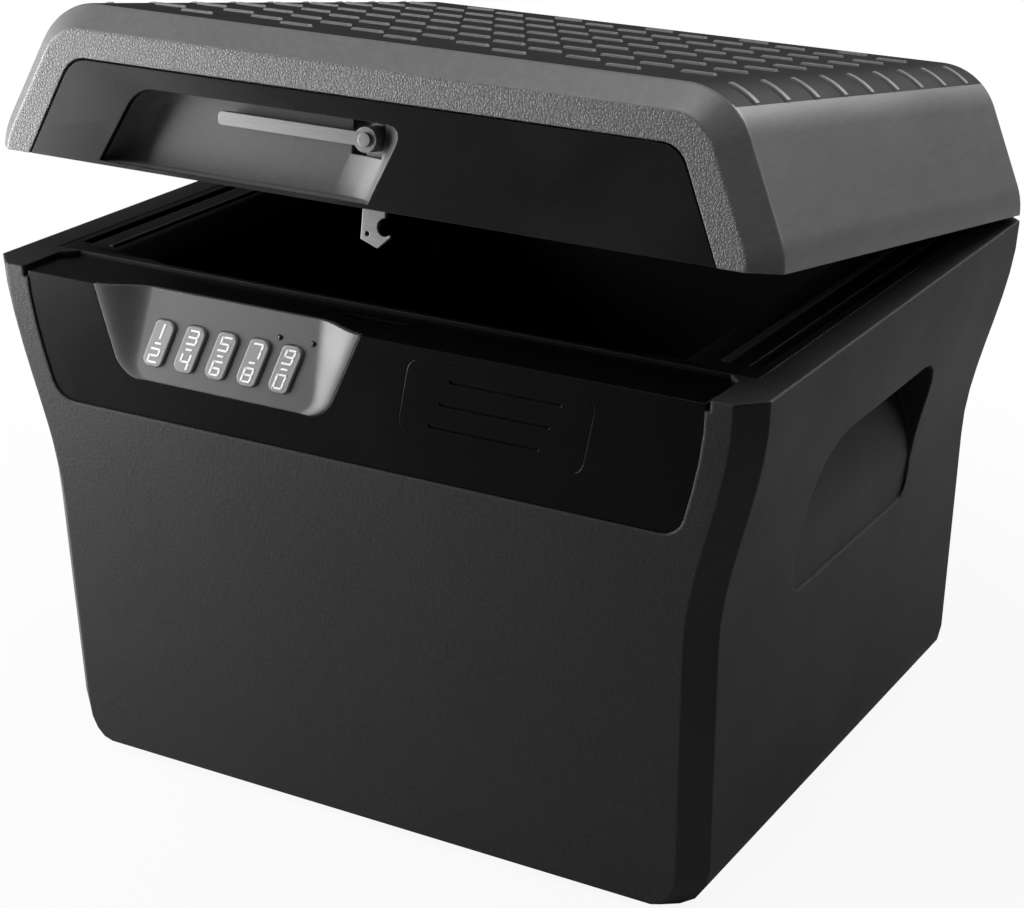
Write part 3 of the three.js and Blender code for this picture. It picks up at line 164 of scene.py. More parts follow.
class GrainLibrary:
    """The grain, handling and edge groups, each built once and placed in the materials."""

    stretches = {Grain.SATIN: (0.6, 0.12, 1.0), Grain.BRUSHED: (0.05, 1.0, 1.0)}
    grain_detail = 3.0
    grain_roughness = 0.6
    leather_warp = 0.0016
    leather_crease = 0.22
    tone_span = (0.25, 0.75)
    smudge_detail = 4.0
    smudge_distortion = 0.6
    smudge_span = (0.35, 0.7)
    speck_scale = 160.0
    speck_span = (0.09, 0.03)
    edge_samples = 4
    edge_span = (0.999, 0.86)

    def __init__(self) -> None:
        """Builds every group."""
        self.grains = {kind: self.grain_group(kind) for kind in Grain}
        self.handling = self.handling_group()
        self.edges = self.edge_group()

    def grain_group(self, kind: Grain) -> bpy.types.NodeTree:
        """Builds the group for one texture.

        Args:
            kind: The texture.

        Returns:
            A group from a place and a scale to a height and a tone.
        """
        group = ShaderGroup(
            kind.value.capitalize(),
            [("Place", "NodeSocketVector", 0.0), ("Scale", "NodeSocketFloat", 1.0)],
            [("Height", "NodeSocketFloat"), ("Tone", "NodeSocketFloat")],
        )
        place, scale = group.source.outputs["Place"], group.source.outputs["Scale"]
        stretch = group.node("ShaderNodeMapping")
        if kind in self.stretches:
            stretch.inputs["Scale"].default_value = self.stretches[kind]
        group.link(place, stretch.inputs["Vector"])
        fine = group.node("ShaderNodeTexNoise")
        fine.inputs["Detail"].default_value = self.grain_detail
        fine.inputs["Roughness"].default_value = self.grain_roughness
        group.link(stretch.outputs["Vector"], fine.inputs["Vector"])
        group.link(scale, fine.inputs["Scale"])
        height = fine.outputs["Fac"]
        if kind is Grain.LEATHER:
            warp = group.node("ShaderNodeVectorMath", operation="MULTIPLY_ADD")
            warp.inputs[1].default_value = (self.leather_warp,) * 3
            group.link(fine.outputs["Color"], warp.inputs[0])
            group.link(place, warp.inputs[2])
            cells = group.node("ShaderNodeTexVoronoi", feature="DISTANCE_TO_EDGE")
            group.link(warp.outputs["Vector"], cells.inputs["Vector"])
            group.link(scale, cells.inputs["Scale"])
            height = group.share(cells.outputs["Distance"], (0.0, self.leather_crease), soft=True)
        elif kind is Grain.POROUS:
            cells = group.node("ShaderNodeTexVoronoi", feature="F1")
            group.link(place, cells.inputs["Vector"])
            group.link(scale, cells.inputs["Scale"])
            height = cells.outputs["Distance"]
        group.link(height, group.sink.inputs["Height"])
        shown = height if kind is Grain.LEATHER else fine.outputs["Fac"]
        group.link(group.share(shown, self.tone_span), group.sink.inputs["Tone"])
        return group.tree

    def handling_group(self) -> bpy.types.NodeTree:
        """Builds the group for the soft smudges and dust that handling leaves.

        Returns:
            A group from a place to a smudge mask and a speck mask.
        """
        group = ShaderGroup(
            "Handling marks",
            [("Place", "NodeSocketVector", 0.0), ("Smudge scale", "NodeSocketFloat", 14.0)],
            [("Smudge", "NodeSocketFloat"), ("Speck", "NodeSocketFloat")],
        )
        place = group.source.outputs["Place"]
        cloud = group.node("ShaderNodeTexNoise")
        cloud.inputs["Detail"].default_value = self.smudge_detail
        cloud.inputs["Distortion"].default_value = self.smudge_distortion
        group.link(place, cloud.inputs["Vector"])
        group.link(group.source.outputs["Smudge scale"], cloud.inputs["Scale"])
        smudge = group.share(cloud.outputs["Fac"], self.smudge_span, soft=True)
        group.link(smudge, group.sink.inputs["Smudge"])
        dust = group.node("ShaderNodeTexVoronoi", feature="F1")
        dust.inputs["Scale"].default_value = self.speck_scale
        group.link(place, dust.inputs["Vector"])
        group.link(group.share(dust.outputs["Distance"], self.speck_span), group.sink.inputs["Speck"])
        return group.tree

    def edge_group(self) -> bpy.types.NodeTree:
        """Builds the group that rounds edges and finds them.

        Returns:
            A group from a radius to a softened normal and an edge mask.
        """
        group = ShaderGroup(
            "Soft edges", [("Radius", "NodeSocketFloat", 0.0008)],
            [("Normal", "NodeSocketVector"), ("Edge", "NodeSocketFloat")],
        )
        bevel = group.node("ShaderNodeBevel", samples=self.edge_samples)
        group.link(group.source.outputs["Radius"], bevel.inputs["Radius"])
        surface = group.node("ShaderNodeNewGeometry")
        facing = group.node("ShaderNodeVectorMath", operation="DOT_PRODUCT")
        group.link(bevel.outputs["Normal"], facing.inputs[0])
        group.link(surface.outputs["Normal"], facing.inputs[1])
        mask = group.share(facing.outputs["Value"], self.edge_span, soft=True)
        group.link(bevel.outputs["Normal"], group.sink.inputs["Normal"])
        group.link(mask, group.sink.inputs["Edge"])
        return group.tree


@dataclass(frozen=True)
class Finish:
    """One finish of the chest, as its maker would order it, though some colours and edges carry painted
    light and shade.
    """

    name: str
    colour: tuple[float, float, float]
    grain: Grain
    grain_scale: float
    grain_depth: float
    roughness: float
    tone_spread: float = 0.12
    # edge_gain lightens the colour along edges: slight edge wear, and a painted highlight where the gain is
    # large.
    edge_gain: float = 0.25
    edge_radius: float = 0.0008
    metallic: float = 0.0
    specular: float = 0.5
    coat: float = 0.0
    coat_roughness: float = 0.06
    smudge: float = 0.03
    speck: float = 0.0

    def shade(self, gain: float) -> tuple[float, float, float, float]:
        """Returns the colour times a gain, with full alpha."""
        return (*[min(1.0, c * gain) for c in self.colour], 1.0)

    def build(self, library: GrainLibrary) -> bpy.types.Material:
        """Builds the material.

        Args:
            library: The shared groups.

        Returns:
            The finished material.
        """
        material = bpy.data.materials.new(self.name)
        material.use_nodes = True
        tree = material.node_tree
        tree.nodes.clear()
        output = add_node(tree, "ShaderNodeOutputMaterial")
        skin = add_node(tree, "ShaderNodeBsdfPrincipled")
        tree.links.new(skin.outputs["BSDF"], output.inputs["Surface"])
        skin.inputs["Metallic"].default_value = self.metallic
        skin.inputs["Specular IOR Level"].default_value = self.specular
        skin.inputs["Coat Weight"].default_value = self.coat
        skin.inputs["Coat Roughness"].default_value = self.coat_roughness
        place = add_node(tree, "ShaderNodeTexCoord").outputs["Object"]
        grain = add_node(tree, "ShaderNodeGroup", node_tree=library.grains[self.grain])
        grain.inputs["Scale"].default_value = self.grain_scale
        handling = add_node(tree, "ShaderNodeGroup", node_tree=library.handling)
        edges = add_node(tree, "ShaderNodeGroup", node_tree=library.edges)
        edges.inputs["Radius"].default_value = self.edge_radius
        tree.links.new(place, grain.inputs["Place"])
        tree.links.new(place, handling.inputs["Place"])
        dark, light = self.shade(1 - self.tone_spread), self.shade(1 + self.tone_spread)
        tone = self.mix(tree, grain.outputs["Tone"], dark, light)
        # Edges are lightened by edge_gain: slight edge wear on most finishes, and a painted highlight along
        # the edges where edge_gain is large.
        edge_wear_and_highlight = self.mix(tree, edges.outputs["Edge"], tone, self.shade(1 + self.edge_gain))
        dusty = self.mix(tree, handling.outputs["Speck"], edge_wear_and_highlight, self.shade(1 + self.speck))
        tree.links.new(dusty, skin.inputs["Base Color"])
        polish = add_node(tree, "ShaderNodeMapRange")
        polish.inputs["To Min"].default_value = self.roughness - self.smudge
        polish.inputs["To Max"].default_value = self.roughness + self.smudge
        tree.links.new(handling.outputs["Smudge"], polish.inputs["Value"])
        tree.links.new(polish.outputs["Result"], skin.inputs["Roughness"])
        bump = add_node(tree, "ShaderNodeBump")
        bump.inputs["Strength"].default_value = 1.0
        bump.inputs["Distance"].default_value = self.grain_depth
        tree.links.new(grain.outputs["Height"], bump.inputs["Height"])
        tree.links.new(edges.outputs["Normal"], bump.inputs["Normal"])
        tree.links.new(bump.outputs["Normal"], skin.inputs["Normal"])
        return material

    @staticmethod
    def mix(
        tree: bpy.types.NodeTree, factor: bpy.types.NodeSocket, low: object, high: object,
    ) -> bpy.types.NodeSocket:
        """Mixes two colours.

        Args:
            tree: The material's tree.
            factor: The mask to mix by.
            low: A colour or a colour socket.
            high: A colour or a colour socket.

        Returns:
            The mixed colour's socket.
        """
        node = add_node(tree, "ShaderNodeMix", data_type="RGBA")
        tree.links.new(factor, node.inputs["Factor"])
        first, second = (socket for socket in node.inputs if socket.type == "RGBA")
        for socket, value in ((first, low), (second, high)):
            if isinstance(value, bpy.types.NodeSocket):
                tree.links.new(value, socket)
            else:
                socket.default_value = value
        return next(socket for socket in node.outputs if socket.type == "RGBA")


class Finishes:
    """All finishes of the chest, found by their plain names and by the record's slots."""

    def __init__(self, library: GrainLibrary) -> None:
        """Builds every material.

        Args:
            library: The shared groups.
        """
        rows = (
            Finish("charcoal_moulding", (0.0128, 0.0128, 0.013), Grain.FINE, 640.0, 0.00016, 0.48,
                   tone_spread=0.3, specular=0.22, edge_radius=0.0022, edge_gain=0.15),
            Finish("lid_leather_grain", (0.104, 0.104, 0.105), Grain.LEATHER, 620.0, 0.00018, 0.46,
                   tone_spread=0.24, specular=0.35, edge_radius=0.0012),
            Finish("lid_satin", (0.115, 0.116, 0.116), Grain.SATIN, 420.0, 0.00005, 0.40,
                   specular=0.4, edge_radius=0.0012),
            Finish("lid_top_black", (0.012, 0.012, 0.012), Grain.FINE, 800.0, 0.00007, 0.62, specular=0.12),
            # The tread bars are moulded with the lid. Their lighter grey is a painted highlight on the
            # raised bars.
            Finish("tread_bar", (0.17, 0.17, 0.171), Grain.SATIN, 500.0, 0.00003, 0.38, edge_gain=0.3,
                   edge_radius=0.0005),
            # edge_gain 4 paints bright highlights along the gloss black's edges, on the lock fascia and the
            # battery door.
            Finish("fascia_black", (0.0018, 0.0018, 0.0019), Grain.FINE, 420.0, 0.000006, 0.27,
                   specular=0.07, smudge=0.05, speck=1.2, edge_gain=4.0),
            # A lighter copy of the gloss black for the lid's front plate: partly a satin finish, partly
            # painted light for the plate's brighter look. Its edge_gain of 1.5 paints highlights on its
            # edges.
            Finish("lid_plate_black_painted_light", (0.0075, 0.0075, 0.0077), Grain.FINE, 420.0, 0.000006, 0.3,
                   specular=0.14, smudge=0.05, speck=0.8, edge_gain=1.5),
            # The rim plate is charcoal moulding like the case. This darker black is painted shade from the
            # lid above it, and edge_gain 5 paints highlights along its edges.
            Finish("rim_painted_shade_and_highlight", (0.004, 0.004, 0.0042), Grain.FINE, 700.0, 0.00004, 0.42,
                   specular=0.16, edge_gain=5.0),
            Finish("silver_paint", (0.050, 0.051, 0.052), Grain.FINE, 1500.0, 0.00002, 0.46,
                   metallic=0.15, specular=0.35, tone_spread=0.06),
            Finish("key_frost", (0.185, 0.188, 0.188), Grain.FINE, 1100.0, 0.00004, 0.4, tone_spread=0.06,
                   edge_radius=0.0005, specular=0.3),
            Finish("digit_paint", (0.62, 0.63, 0.63), Grain.FINE, 900.0, 0.00001, 0.45, tone_spread=0.03),
            Finish("dark_lining", (0.0045, 0.0045, 0.0047), Grain.FINE, 520.0, 0.00008, 0.5, specular=0.2),
            Finish("recess_grey", (0.085, 0.085, 0.086), Grain.FINE, 700.0, 0.00004, 0.42, specular=0.3),
            Finish("lamp_lens", (0.006, 0.004, 0.004), Grain.FINE, 300.0, 0.000002, 0.12, specular=0.3),
            Finish("zinc_steel", (0.22, 0.22, 0.22), Grain.BRUSHED, 900.0, 0.00003, 0.36, metallic=0.45,
                   edge_gain=0.6, edge_radius=0.0004),
            Finish("solder_mask", (0.02, 0.10, 0.045), Grain.FINE, 500.0, 0.00003, 0.35, coat=0.3),
            Finish("cell_wrap", (0.07, 0.08, 0.10), Grain.SATIN, 300.0, 0.00001, 0.3, coat=0.4),
            Finish("gasket_rubber", (0.008, 0.008, 0.008), Grain.FINE, 700.0, 0.00008, 0.8, specular=0.3),
            Finish("foamed_fill", (0.48, 0.45, 0.40), Grain.POROUS, 380.0, 0.0004, 0.95, tone_spread=0.18),
        )
        self.by_name = {row.name: row.build(library) for row in rows}
        self.by_slot = {
            "charcoal_shell": "charcoal_moulding", "grained_lid": "lid_satin", "gloss_black": "fascia_black",
            "dark_lining": "dark_lining", "silver_plastic": "silver_paint", "key_grey": "key_frost",
            "lamp_lens": "lamp_lens", "circuit_board": "solder_mask", "cell_wrap": "cell_wrap",
            "steel": "zinc_steel", "black_rubber": "gasket_rubber", "insulation": "foamed_fill",
        }

    def __getitem__(self, name: str) -> bpy.types.Material:
        """Returns a material by its finish's name."""
        return self.by_name[name]

    def for_slot(self, slot: str) -> bpy.types.Material:
        """Returns the material that stands for a slot of the record."""
        return self.by_name[self.by_slot[slot]]


# Mesh helpers


def link_mesh(name: str, mesh: bpy.types.Mesh) -> bpy.types.Object:
    """Puts a mesh in the scene as an object at the origin.

    Args:
        name: The piece's name.
        mesh: The mesh.

    Returns:
        The new object.
    """
    piece = bpy.data.objects.new(name, mesh)
    bpy.context.scene.collection.objects.link(piece)
    return piece


def from_bmesh(name: str, shape: bmesh.types.BMesh) -> bpy.types.Object:
    """Turns a bmesh into an object with its faces outwards.

    Args:
        name: The piece's name.
        shape: The bmesh, which is freed.

    Returns:
        The new object.
    """
    bmesh.ops.recalc_face_normals(shape, faces=shape.faces)
    mesh = bpy.data.meshes.new(name)
    shape.to_mesh(mesh)
    shape.free()
    return link_mesh(name, mesh)


def loft(name: str, rings: Sequence[Ring]) -> bpy.types.Object:
    """Skins closed rings of equal count and caps both ends.

    Args:
        name: The piece's name.
        rings: The rings, in order.

    Returns:
        A closed object.
    """
    shape = bmesh.new()
    rows = [[shape.verts.new(p) for p in ring] for ring in rings]
    count = len(rows[0])
    for lower, upper in zip(rows, rows[1:]):
        for i in range(count):
            j = (i + 1) % count
            shape.faces.new((lower[i], lower[j], upper[j], upper[i]))
    shape.faces.new(list(reversed(rows[0])))
    shape.faces.new(rows[-1])
    bmesh.ops.remove_doubles(shape, verts=shape.verts, dist=CAP_MERGE_DISTANCE)
    return from_bmesh(name, shape)


def box(name: str, low: Sequence[float], high: Sequence[float]) -> bpy.types.Object:
    """Makes a box between two corners."""
    corners = [(low[0], low[1]), (high[0], low[1]), (high[0], high[1]), (low[0], high[1])]
    return loft(name, [[Vector((x, y, z)) for x, y in corners] for z in (low[2], high[2])])


def rod_x(name: str, radius: float, span: Point, y: float, z: float, sides: int = 32) -> bpy.types.Object:
    """Makes a round rod along X.

    Args:
        name: The piece's name.
        radius: Its radius.
        span: Its two ends in x.
        y: Its axis in y.
        z: Its axis in z.
        sides: How many sides it has.

    Returns:
        A closed object.
    """
    turns = [2 * math.pi * i / sides for i in range(sides)]
    return loft(name, [
        [Vector((x, y + radius * math.cos(a), z + radius * math.sin(a))) for a in turns] for x in span
    ])


def settle(piece: bpy.types.Object) -> bpy.types.Object:
    """Applies a piece's modifiers to its mesh.

    Args:
        piece: The object.

    Returns:
        The same object with a plain mesh.
    """
    graph = bpy.context.evaluated_depsgraph_get()
    mesh = bpy.data.meshes.new_from_object(piece.evaluated_get(graph))
    old = piece.data
    piece.modifiers.clear()
    piece.data = mesh
    if old.users == 0:
        bpy.data.meshes.remove(old)
    return piece


def combine(piece: bpy.types.Object, tools: Iterable[bpy.types.Object], operation: str) -> bpy.types.Object:
    """Joins, cuts or intersects a piece with tools, which are removed.

    Args:
        piece: The closed object to change.
        tools: Closed objects.
        operation: UNION, DIFFERENCE or INTERSECT.

    Returns:
        The changed object.
    """
    for tool in tools:
        step = piece.modifiers.new("combine", "BOOLEAN")
        step.operation = operation
        step.solver = "MANIFOLD"
        step.object = tool
        settle(piece)
        bpy.data.objects.remove(tool)
    return piece


def smooth(piece: bpy.types.Object, angle: float = 28.0, weighted: bool = True) -> bpy.types.Object:
    """Shades a piece smooth up to an angle and keeps sharper edges.

    Args:
        piece: The object.
        angle: The greatest angle, in degrees, that is smoothed.
        weighted: Whether large faces keep their normals.

    Returns:
        The same object.
    """
    shape = bmesh.new()
    shape.from_mesh(piece.data)
    limit = math.radians(angle)
    for face in shape.faces:
        face.smooth = True
    for edge in shape.edges:
        edge.smooth = len(edge.link_faces) == 2 and edge.calc_face_angle(0.0) < limit
    shape.to_mesh(piece.data)
    shape.free()
    if weighted:
        step = piece.modifiers.new("even shading", "WEIGHTED_NORMAL")
        step.keep_sharp = True
        settle(piece)
    return piece


def merged_copy(node: str, name: str, bevel: float = 0.0, segments: int = 2) -> bpy.types.Object:
    """Copies a CAD node as a clean mesh with merged corners.

    Args:
        node: The CAD node's name.
        name: The copy's name.
        bevel: The width of rounded edges, or zero.
        segments: How many faces a rounded edge has across.

    Returns:
        The copy.
    """
    shape = bmesh.new()
    shape.from_mesh(frame["nodes"][node].data)
    bmesh.ops.remove_doubles(shape, verts=shape.verts, dist=MERGE_DISTANCE)
    mesh = bpy.data.meshes.new(name)
    shape.to_mesh(mesh)
    shape.free()
    piece = link_mesh(name, mesh)
    if bevel > 0:
        step = piece.modifiers.new("rounded edges", "BEVEL")
        step.width = bevel
        step.segments = segments
        step.limit_method = "ANGLE"
        step.angle_limit = BEVEL_ANGLE
        step.use_clamp_overlap = True
        settle(piece)
    return piece


def dress(
    piece: bpy.types.Object, body: str, materials: Sequence[bpy.types.Material],
    replaced: Sequence[str],
) -> bpy.types.Object:
    """Gives a piece its body and materials, hides the CAD nodes that it stands for, and keeps its faces'
    choice.

    Args:
        piece: The finished object.
        body: The CAD body that it moves with.
        materials: Its materials, in slot order.
        replaced: The CAD nodes that it replaces.

    Returns:
        The same object.
    """
    choice = [face.material_index for face in piece.data.polygons]
    piece.data.materials.clear()
    for material in materials:
        piece.data.materials.append(material)
    if len(materials) > 1:
        piece.data.polygons.foreach_set("material_index", choice)
    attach(piece, body)
    if replaced:
        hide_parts(*replaced)
    log.info("%s rides on %s with %d faces", piece.name, body, len(piece.data.polygons))
    return piece


def rounded(outline: Sequence[Point], radius: float, steps: int = 8) -> Outline:
    """Rounds each corner of a closed outline with an arc.

    Args:
        outline: The corners.
        radius: The radius of every corner.
        steps: How many sides an arc has.

    Returns:
        The rounded outline.
    """
    points = []
    count = len(outline)
    for i, corner in enumerate(outline):
        here = Vector(corner)
        before = (Vector(outline[i - 1]) - here).normalized()
        after = (Vector(outline[(i + 1) % count]) - here).normalized()
        half = math.acos(max(-1.0, min(1.0, before.dot(after)))) / 2
        centre = here + (before + after).normalized() * (radius / math.sin(half))
        first = here + before * (radius / math.tan(half)) - centre
        last = here + after * (radius / math.tan(half)) - centre
        start = math.atan2(first.y, first.x)
        turn = math.atan2(last.y, last.x) - start
        turn = math.atan2(math.sin(turn), math.cos(turn))
        for s in range(steps + 1):
            angle = start + turn * s / steps
            points.append((centre.x + radius * math.cos(angle), centre.y + radius * math.sin(angle)))
    return points


def smoothstep(share: float) -> float:
    """Returns the smooth step of a share, held between 0 and 1."""
    share = max(0.0, min(1.0, share))
    return share * share * (3 - 2 * share)


# Geometry node trees


class RepeatTree:
    """A Geometry Nodes tree that makes a repeated feature and is turned into a plain mesh."""

    def __init__(self, name: str, sizes: dict[str, float]) -> None:
        """Makes the tree with its named inputs.

        Args:
            name: The tree's name.
            sizes: The inputs' names and values.
        """
        self.tree = bpy.data.node_groups.new(name, "GeometryNodeTree")
        self.sizes = sizes
        for label in sizes:
            self.tree.interface.new_socket(label, in_out="INPUT", socket_type="NodeSocketFloat")
        self.tree.interface.new_socket("Finish", in_out="INPUT", socket_type="NodeSocketMaterial")
        self.tree.interface.new_socket("Geometry", in_out="OUTPUT", socket_type="NodeSocketGeometry")
        self.source = self.node("NodeGroupInput")
        self.sink = self.node("NodeGroupOutput")

    def node(self, kind: str, **values: object) -> bpy.types.Node:
        """Adds a node to the tree."""
        return add_node(self.tree, kind, **values)

    def link(self, start: bpy.types.NodeSocket, end: bpy.types.NodeSocket) -> None:
        """Links one socket to another."""
        self.tree.links.new(start, end)

    def math(self, operation: str, first: object, second: object = 0.0) -> bpy.types.NodeSocket:
        """Adds a Math node.

        Args:
            operation: The node's operation.
            first: A number or a socket.
            second: A number or a socket.

        Returns:
            The result's socket.
        """
        node = self.node("ShaderNodeMath", operation=operation)
        for index, value in enumerate((first, second)):
            if isinstance(value, bpy.types.NodeSocket):
                self.link(value, node.inputs[index])
            else:
                node.inputs[index].default_value = value
        return node.outputs[0]

    def vector(self, x: object = 0.0, y: object = 0.0, z: object = 0.0) -> bpy.types.NodeSocket:
        """Adds a node that joins three numbers or sockets to a vector.

        Args:
            x: A number or a socket.
            y: A number or a socket.
            z: A number or a socket.

        Returns:
            The vector's socket.
        """
        node = self.node("ShaderNodeCombineXYZ")
        for index, value in enumerate((x, y, z)):
            if isinstance(value, bpy.types.NodeSocket):
                self.link(value, node.inputs[index])
            else:
                node.inputs[index].default_value = value
        return node.outputs["Vector"]

    def position(self) -> list[bpy.types.NodeSocket]:
        """Adds nodes that read each point's place.

        Returns:
            The sockets of x, y and z.
        """
        place = self.node("GeometryNodeInputPosition")
        parts = self.node("ShaderNodeSeparateXYZ")
        self.link(place.outputs["Position"], parts.inputs["Vector"])
        return [parts.outputs[axis] for axis in "XYZ"]

    def size(self, label: str) -> bpy.types.NodeSocket:
        """Returns the socket of a named size."""
        return self.source.outputs[label]

    def finish(self, geometry: bpy.types.NodeSocket) -> None:
        """Ends the tree with Realize Instances and Set Material.

        Args:
            geometry: The socket of the geometry to put out.
        """
        realize = self.node("GeometryNodeRealizeInstances")
        paint = self.node("GeometryNodeSetMaterial")
        self.link(geometry, realize.inputs["Geometry"])
        self.link(realize.outputs["Geometry"], paint.inputs["Geometry"])
        self.link(self.source.outputs["Finish"], paint.inputs["Material"])
        self.link(paint.outputs["Geometry"], self.sink.inputs["Geometry"])

    def make(self, name: str, material: bpy.types.Material) -> bpy.types.Object:
        """Runs the tree once and keeps the result as a plain mesh.

        Args:
            name: The piece's name.
            material: The finish that the tree sets.

        Returns:
            The new object.
        """
        piece = link_mesh(name, bpy.data.meshes.new(name))
        step = piece.modifiers.new("repeat", "NODES")
        step.node_group = self.tree
        for item in self.tree.interface.items_tree:
            if item.in_out == "INPUT" and item.name in self.sizes:
                step[item.identifier] = float(self.sizes[item.name])
            elif item.in_out == "INPUT" and item.name == "Finish":
                step[item.identifier] = material
        return settle(piece)


@dataclass
class Camera:
    """The photograph's camera, fitted to the chest's edges."""

    azimuth: float = 0.5121964
    elevation: float = 0.3743961
    roll: float = 0.0097325
    distance: float = 1.274883
    focal_pixels: float = 2426.318
    target: tuple[float, float, float] = (0.008525, -0.027754, 0.159706)
    sensor: float = 36.0
    clip_start: float = 0.05

    def build(self) -> bpy.types.Object:
        """Places the camera and sets it as the active one.

        Returns:
            The scene's camera.
        """
        back = Vector((
            math.sin(self.azimuth) * math.cos(self.elevation),
            -math.cos(self.azimuth) * math.cos(self.elevation),
            math.sin(self.elevation),
        ))
        right = (-back).cross(Vector((0, 0, 1))).normalized()
        up = right.cross(-back)
        across = right * math.cos(self.roll) + up * math.sin(self.roll)
        upward = -right * math.sin(self.roll) + up * math.cos(self.roll)
        lens = bpy.data.cameras.new("camera")
        lens.sensor_width = self.sensor
        lens.sensor_fit = "HORIZONTAL"
        lens.lens = self.focal_pixels * self.sensor / PHOTO_WIDTH
        lens.clip_start = self.clip_start
        camera = bpy.data.objects.new("camera", lens)
        turn = Matrix((across, upward, back)).transposed().to_4x4()
        camera.matrix_world = Matrix.Translation(Vector(self.target) + back * self.distance) @ turn
        bpy.context.scene.collection.objects.link(camera)
        bpy.context.scene.camera = camera
        return camera


@dataclass(frozen=True)
class SoftBox:
    """One square soft light that faces the chest.

    Its azimuth runs in degrees from the chest's front towards its right, and its power is in watts.
    """

    name: str
    azimuth: float
    elevation: float
    distance: float
    size: float
    power: float

    def build(self, aim: Vector) -> None:
        """Adds the light.

        Args:
            aim: The place that the light looks at.
        """
        lamp = bpy.data.lights.new(self.name, "AREA")
        lamp.shape = "SQUARE"
        lamp.size = self.size
        lamp.energy = self.power
        light = bpy.data.objects.new(self.name, lamp)
        a, e = math.radians(self.azimuth), math.radians(self.elevation)
        away = Vector((math.sin(a) * math.cos(e), -math.cos(a) * math.cos(e), math.sin(e)))
        offset = away * self.distance
        light.location = aim + offset
        light.rotation_euler = offset.to_track_quat("Z", "Y").to_euler()
        bpy.context.scene.collection.objects.link(light)


@dataclass
class Studio:
    """The pale floor and the soft lights round the chest."""

    floor_half: float = 9.0
    floor_cells: int = 8
    floor_grey: float = 0.36
    near_glow: float = 0.92
    glow_start: float = 0.25
    glow_end: float = 0.75
    ambient: float = 0.036
    mirror: float = 0.09
    aim: tuple[float, float, float] = (0.0, 0.0, 0.2)
    lights: tuple[SoftBox, ...] = (
        SoftBox("front_left_box", -62, 6, 0.85, 0.6, 18),
        SoftBox("upper_front_box", -15, 72, 1.7, 1.0, 19),
        SoftBox("back_right_box", 156, 38, 2.0, 1.0, 28),
        SoftBox("side_box", 130, 20, 2.0, 0.8, 5),
    )

    def world(self) -> None:
        """Makes a world that is white to the camera and dim as a light."""
        world = bpy.data.worlds.new("studio")
        world.use_nodes = True
        tree = world.node_tree
        tree.nodes.clear()
        output = add_node(tree, "ShaderNodeOutputWorld")
        sky = add_node(tree, "ShaderNodeBackground")
        sky.inputs["Color"].default_value = (1, 1, 1, 1)
        path = add_node(tree, "ShaderNodeLightPath")
        mirror = add_node(tree, "ShaderNodeMath", operation="MAXIMUM")
        tree.links.new(path.outputs["Is Glossy Ray"], mirror.inputs[0])
        tree.links.new(path.outputs["Is Transmission Ray"], mirror.inputs[1])
        soft = add_node(tree, "ShaderNodeMapRange")
        soft.inputs["To Min"].default_value = self.ambient
        soft.inputs["To Max"].default_value = self.mirror
        tree.links.new(mirror.outputs[0], soft.inputs["Value"])
        level = add_node(tree, "ShaderNodeMath", operation="MAXIMUM")
        tree.links.new(path.outputs["Is Camera Ray"], level.inputs[0])
        tree.links.new(soft.outputs["Result"], level.inputs[1])
        tree.links.new(level.outputs[0], sky.inputs["Strength"])
        tree.links.new(sky.outputs["Background"], output.inputs["Surface"])
        bpy.context.scene.world = world

    def floor(self) -> bpy.types.Object:
        """Makes the pale floor, white to the camera away from the chest's shadow.

        Returns:
            The floor, which faces up.
        """
        shape = bmesh.new()
        cells = self.floor_cells
        bmesh.ops.create_grid(shape, x_segments=cells, y_segments=cells, size=self.floor_half)
        floor = from_bmesh("studio_floor", shape)
        if floor.data.polygons[0].normal.z < 0:
            floor.data.flip_normals()
        material = bpy.data.materials.new("studio_floor")
        material.use_nodes = True
        tree = material.node_tree
        tree.nodes.clear()
        output = add_node(tree, "ShaderNodeOutputMaterial")
        paper = add_node(tree, "ShaderNodeBsdfDiffuse")
        paper.inputs["Color"].default_value = (self.floor_grey, self.floor_grey, self.floor_grey, 1)
        glow = add_node(tree, "ShaderNodeEmission")
        path = add_node(tree, "ShaderNodeLightPath")
        place = add_node(tree, "ShaderNodeTexCoord")
        reach = add_node(tree, "ShaderNodeVectorMath", operation="LENGTH")
        tree.links.new(place.outputs["Object"], reach.inputs[0])
        fade = add_node(tree, "ShaderNodeMapRange", interpolation_type="SMOOTHSTEP")
        fade.inputs["From Min"].default_value = self.glow_start
        fade.inputs["From Max"].default_value = self.glow_end
        fade.inputs["To Min"].default_value = self.near_glow
        tree.links.new(reach.outputs["Value"], fade.inputs["Value"])
        white = add_node(tree, "ShaderNodeMath", operation="MULTIPLY")
        tree.links.new(fade.outputs["Result"], white.inputs[0])
        tree.links.new(path.outputs["Is Camera Ray"], white.inputs[1])
        blend = add_node(tree, "ShaderNodeMixShader")
        tree.links.new(white.outputs[0], blend.inputs["Fac"])
        tree.links.new(paper.outputs["BSDF"], blend.inputs[1])
        tree.links.new(glow.outputs["Emission"], blend.inputs[2])
        tree.links.new(blend.outputs["Shader"], output.inputs["Surface"])
        floor.data.materials.append(material)
        return floor

    def build(self) -> None:
        """Sets up the floor, the world and the lights."""
        self.floor()
        self.world()
        for light in self.lights:
            light.build(Vector(self.aim))


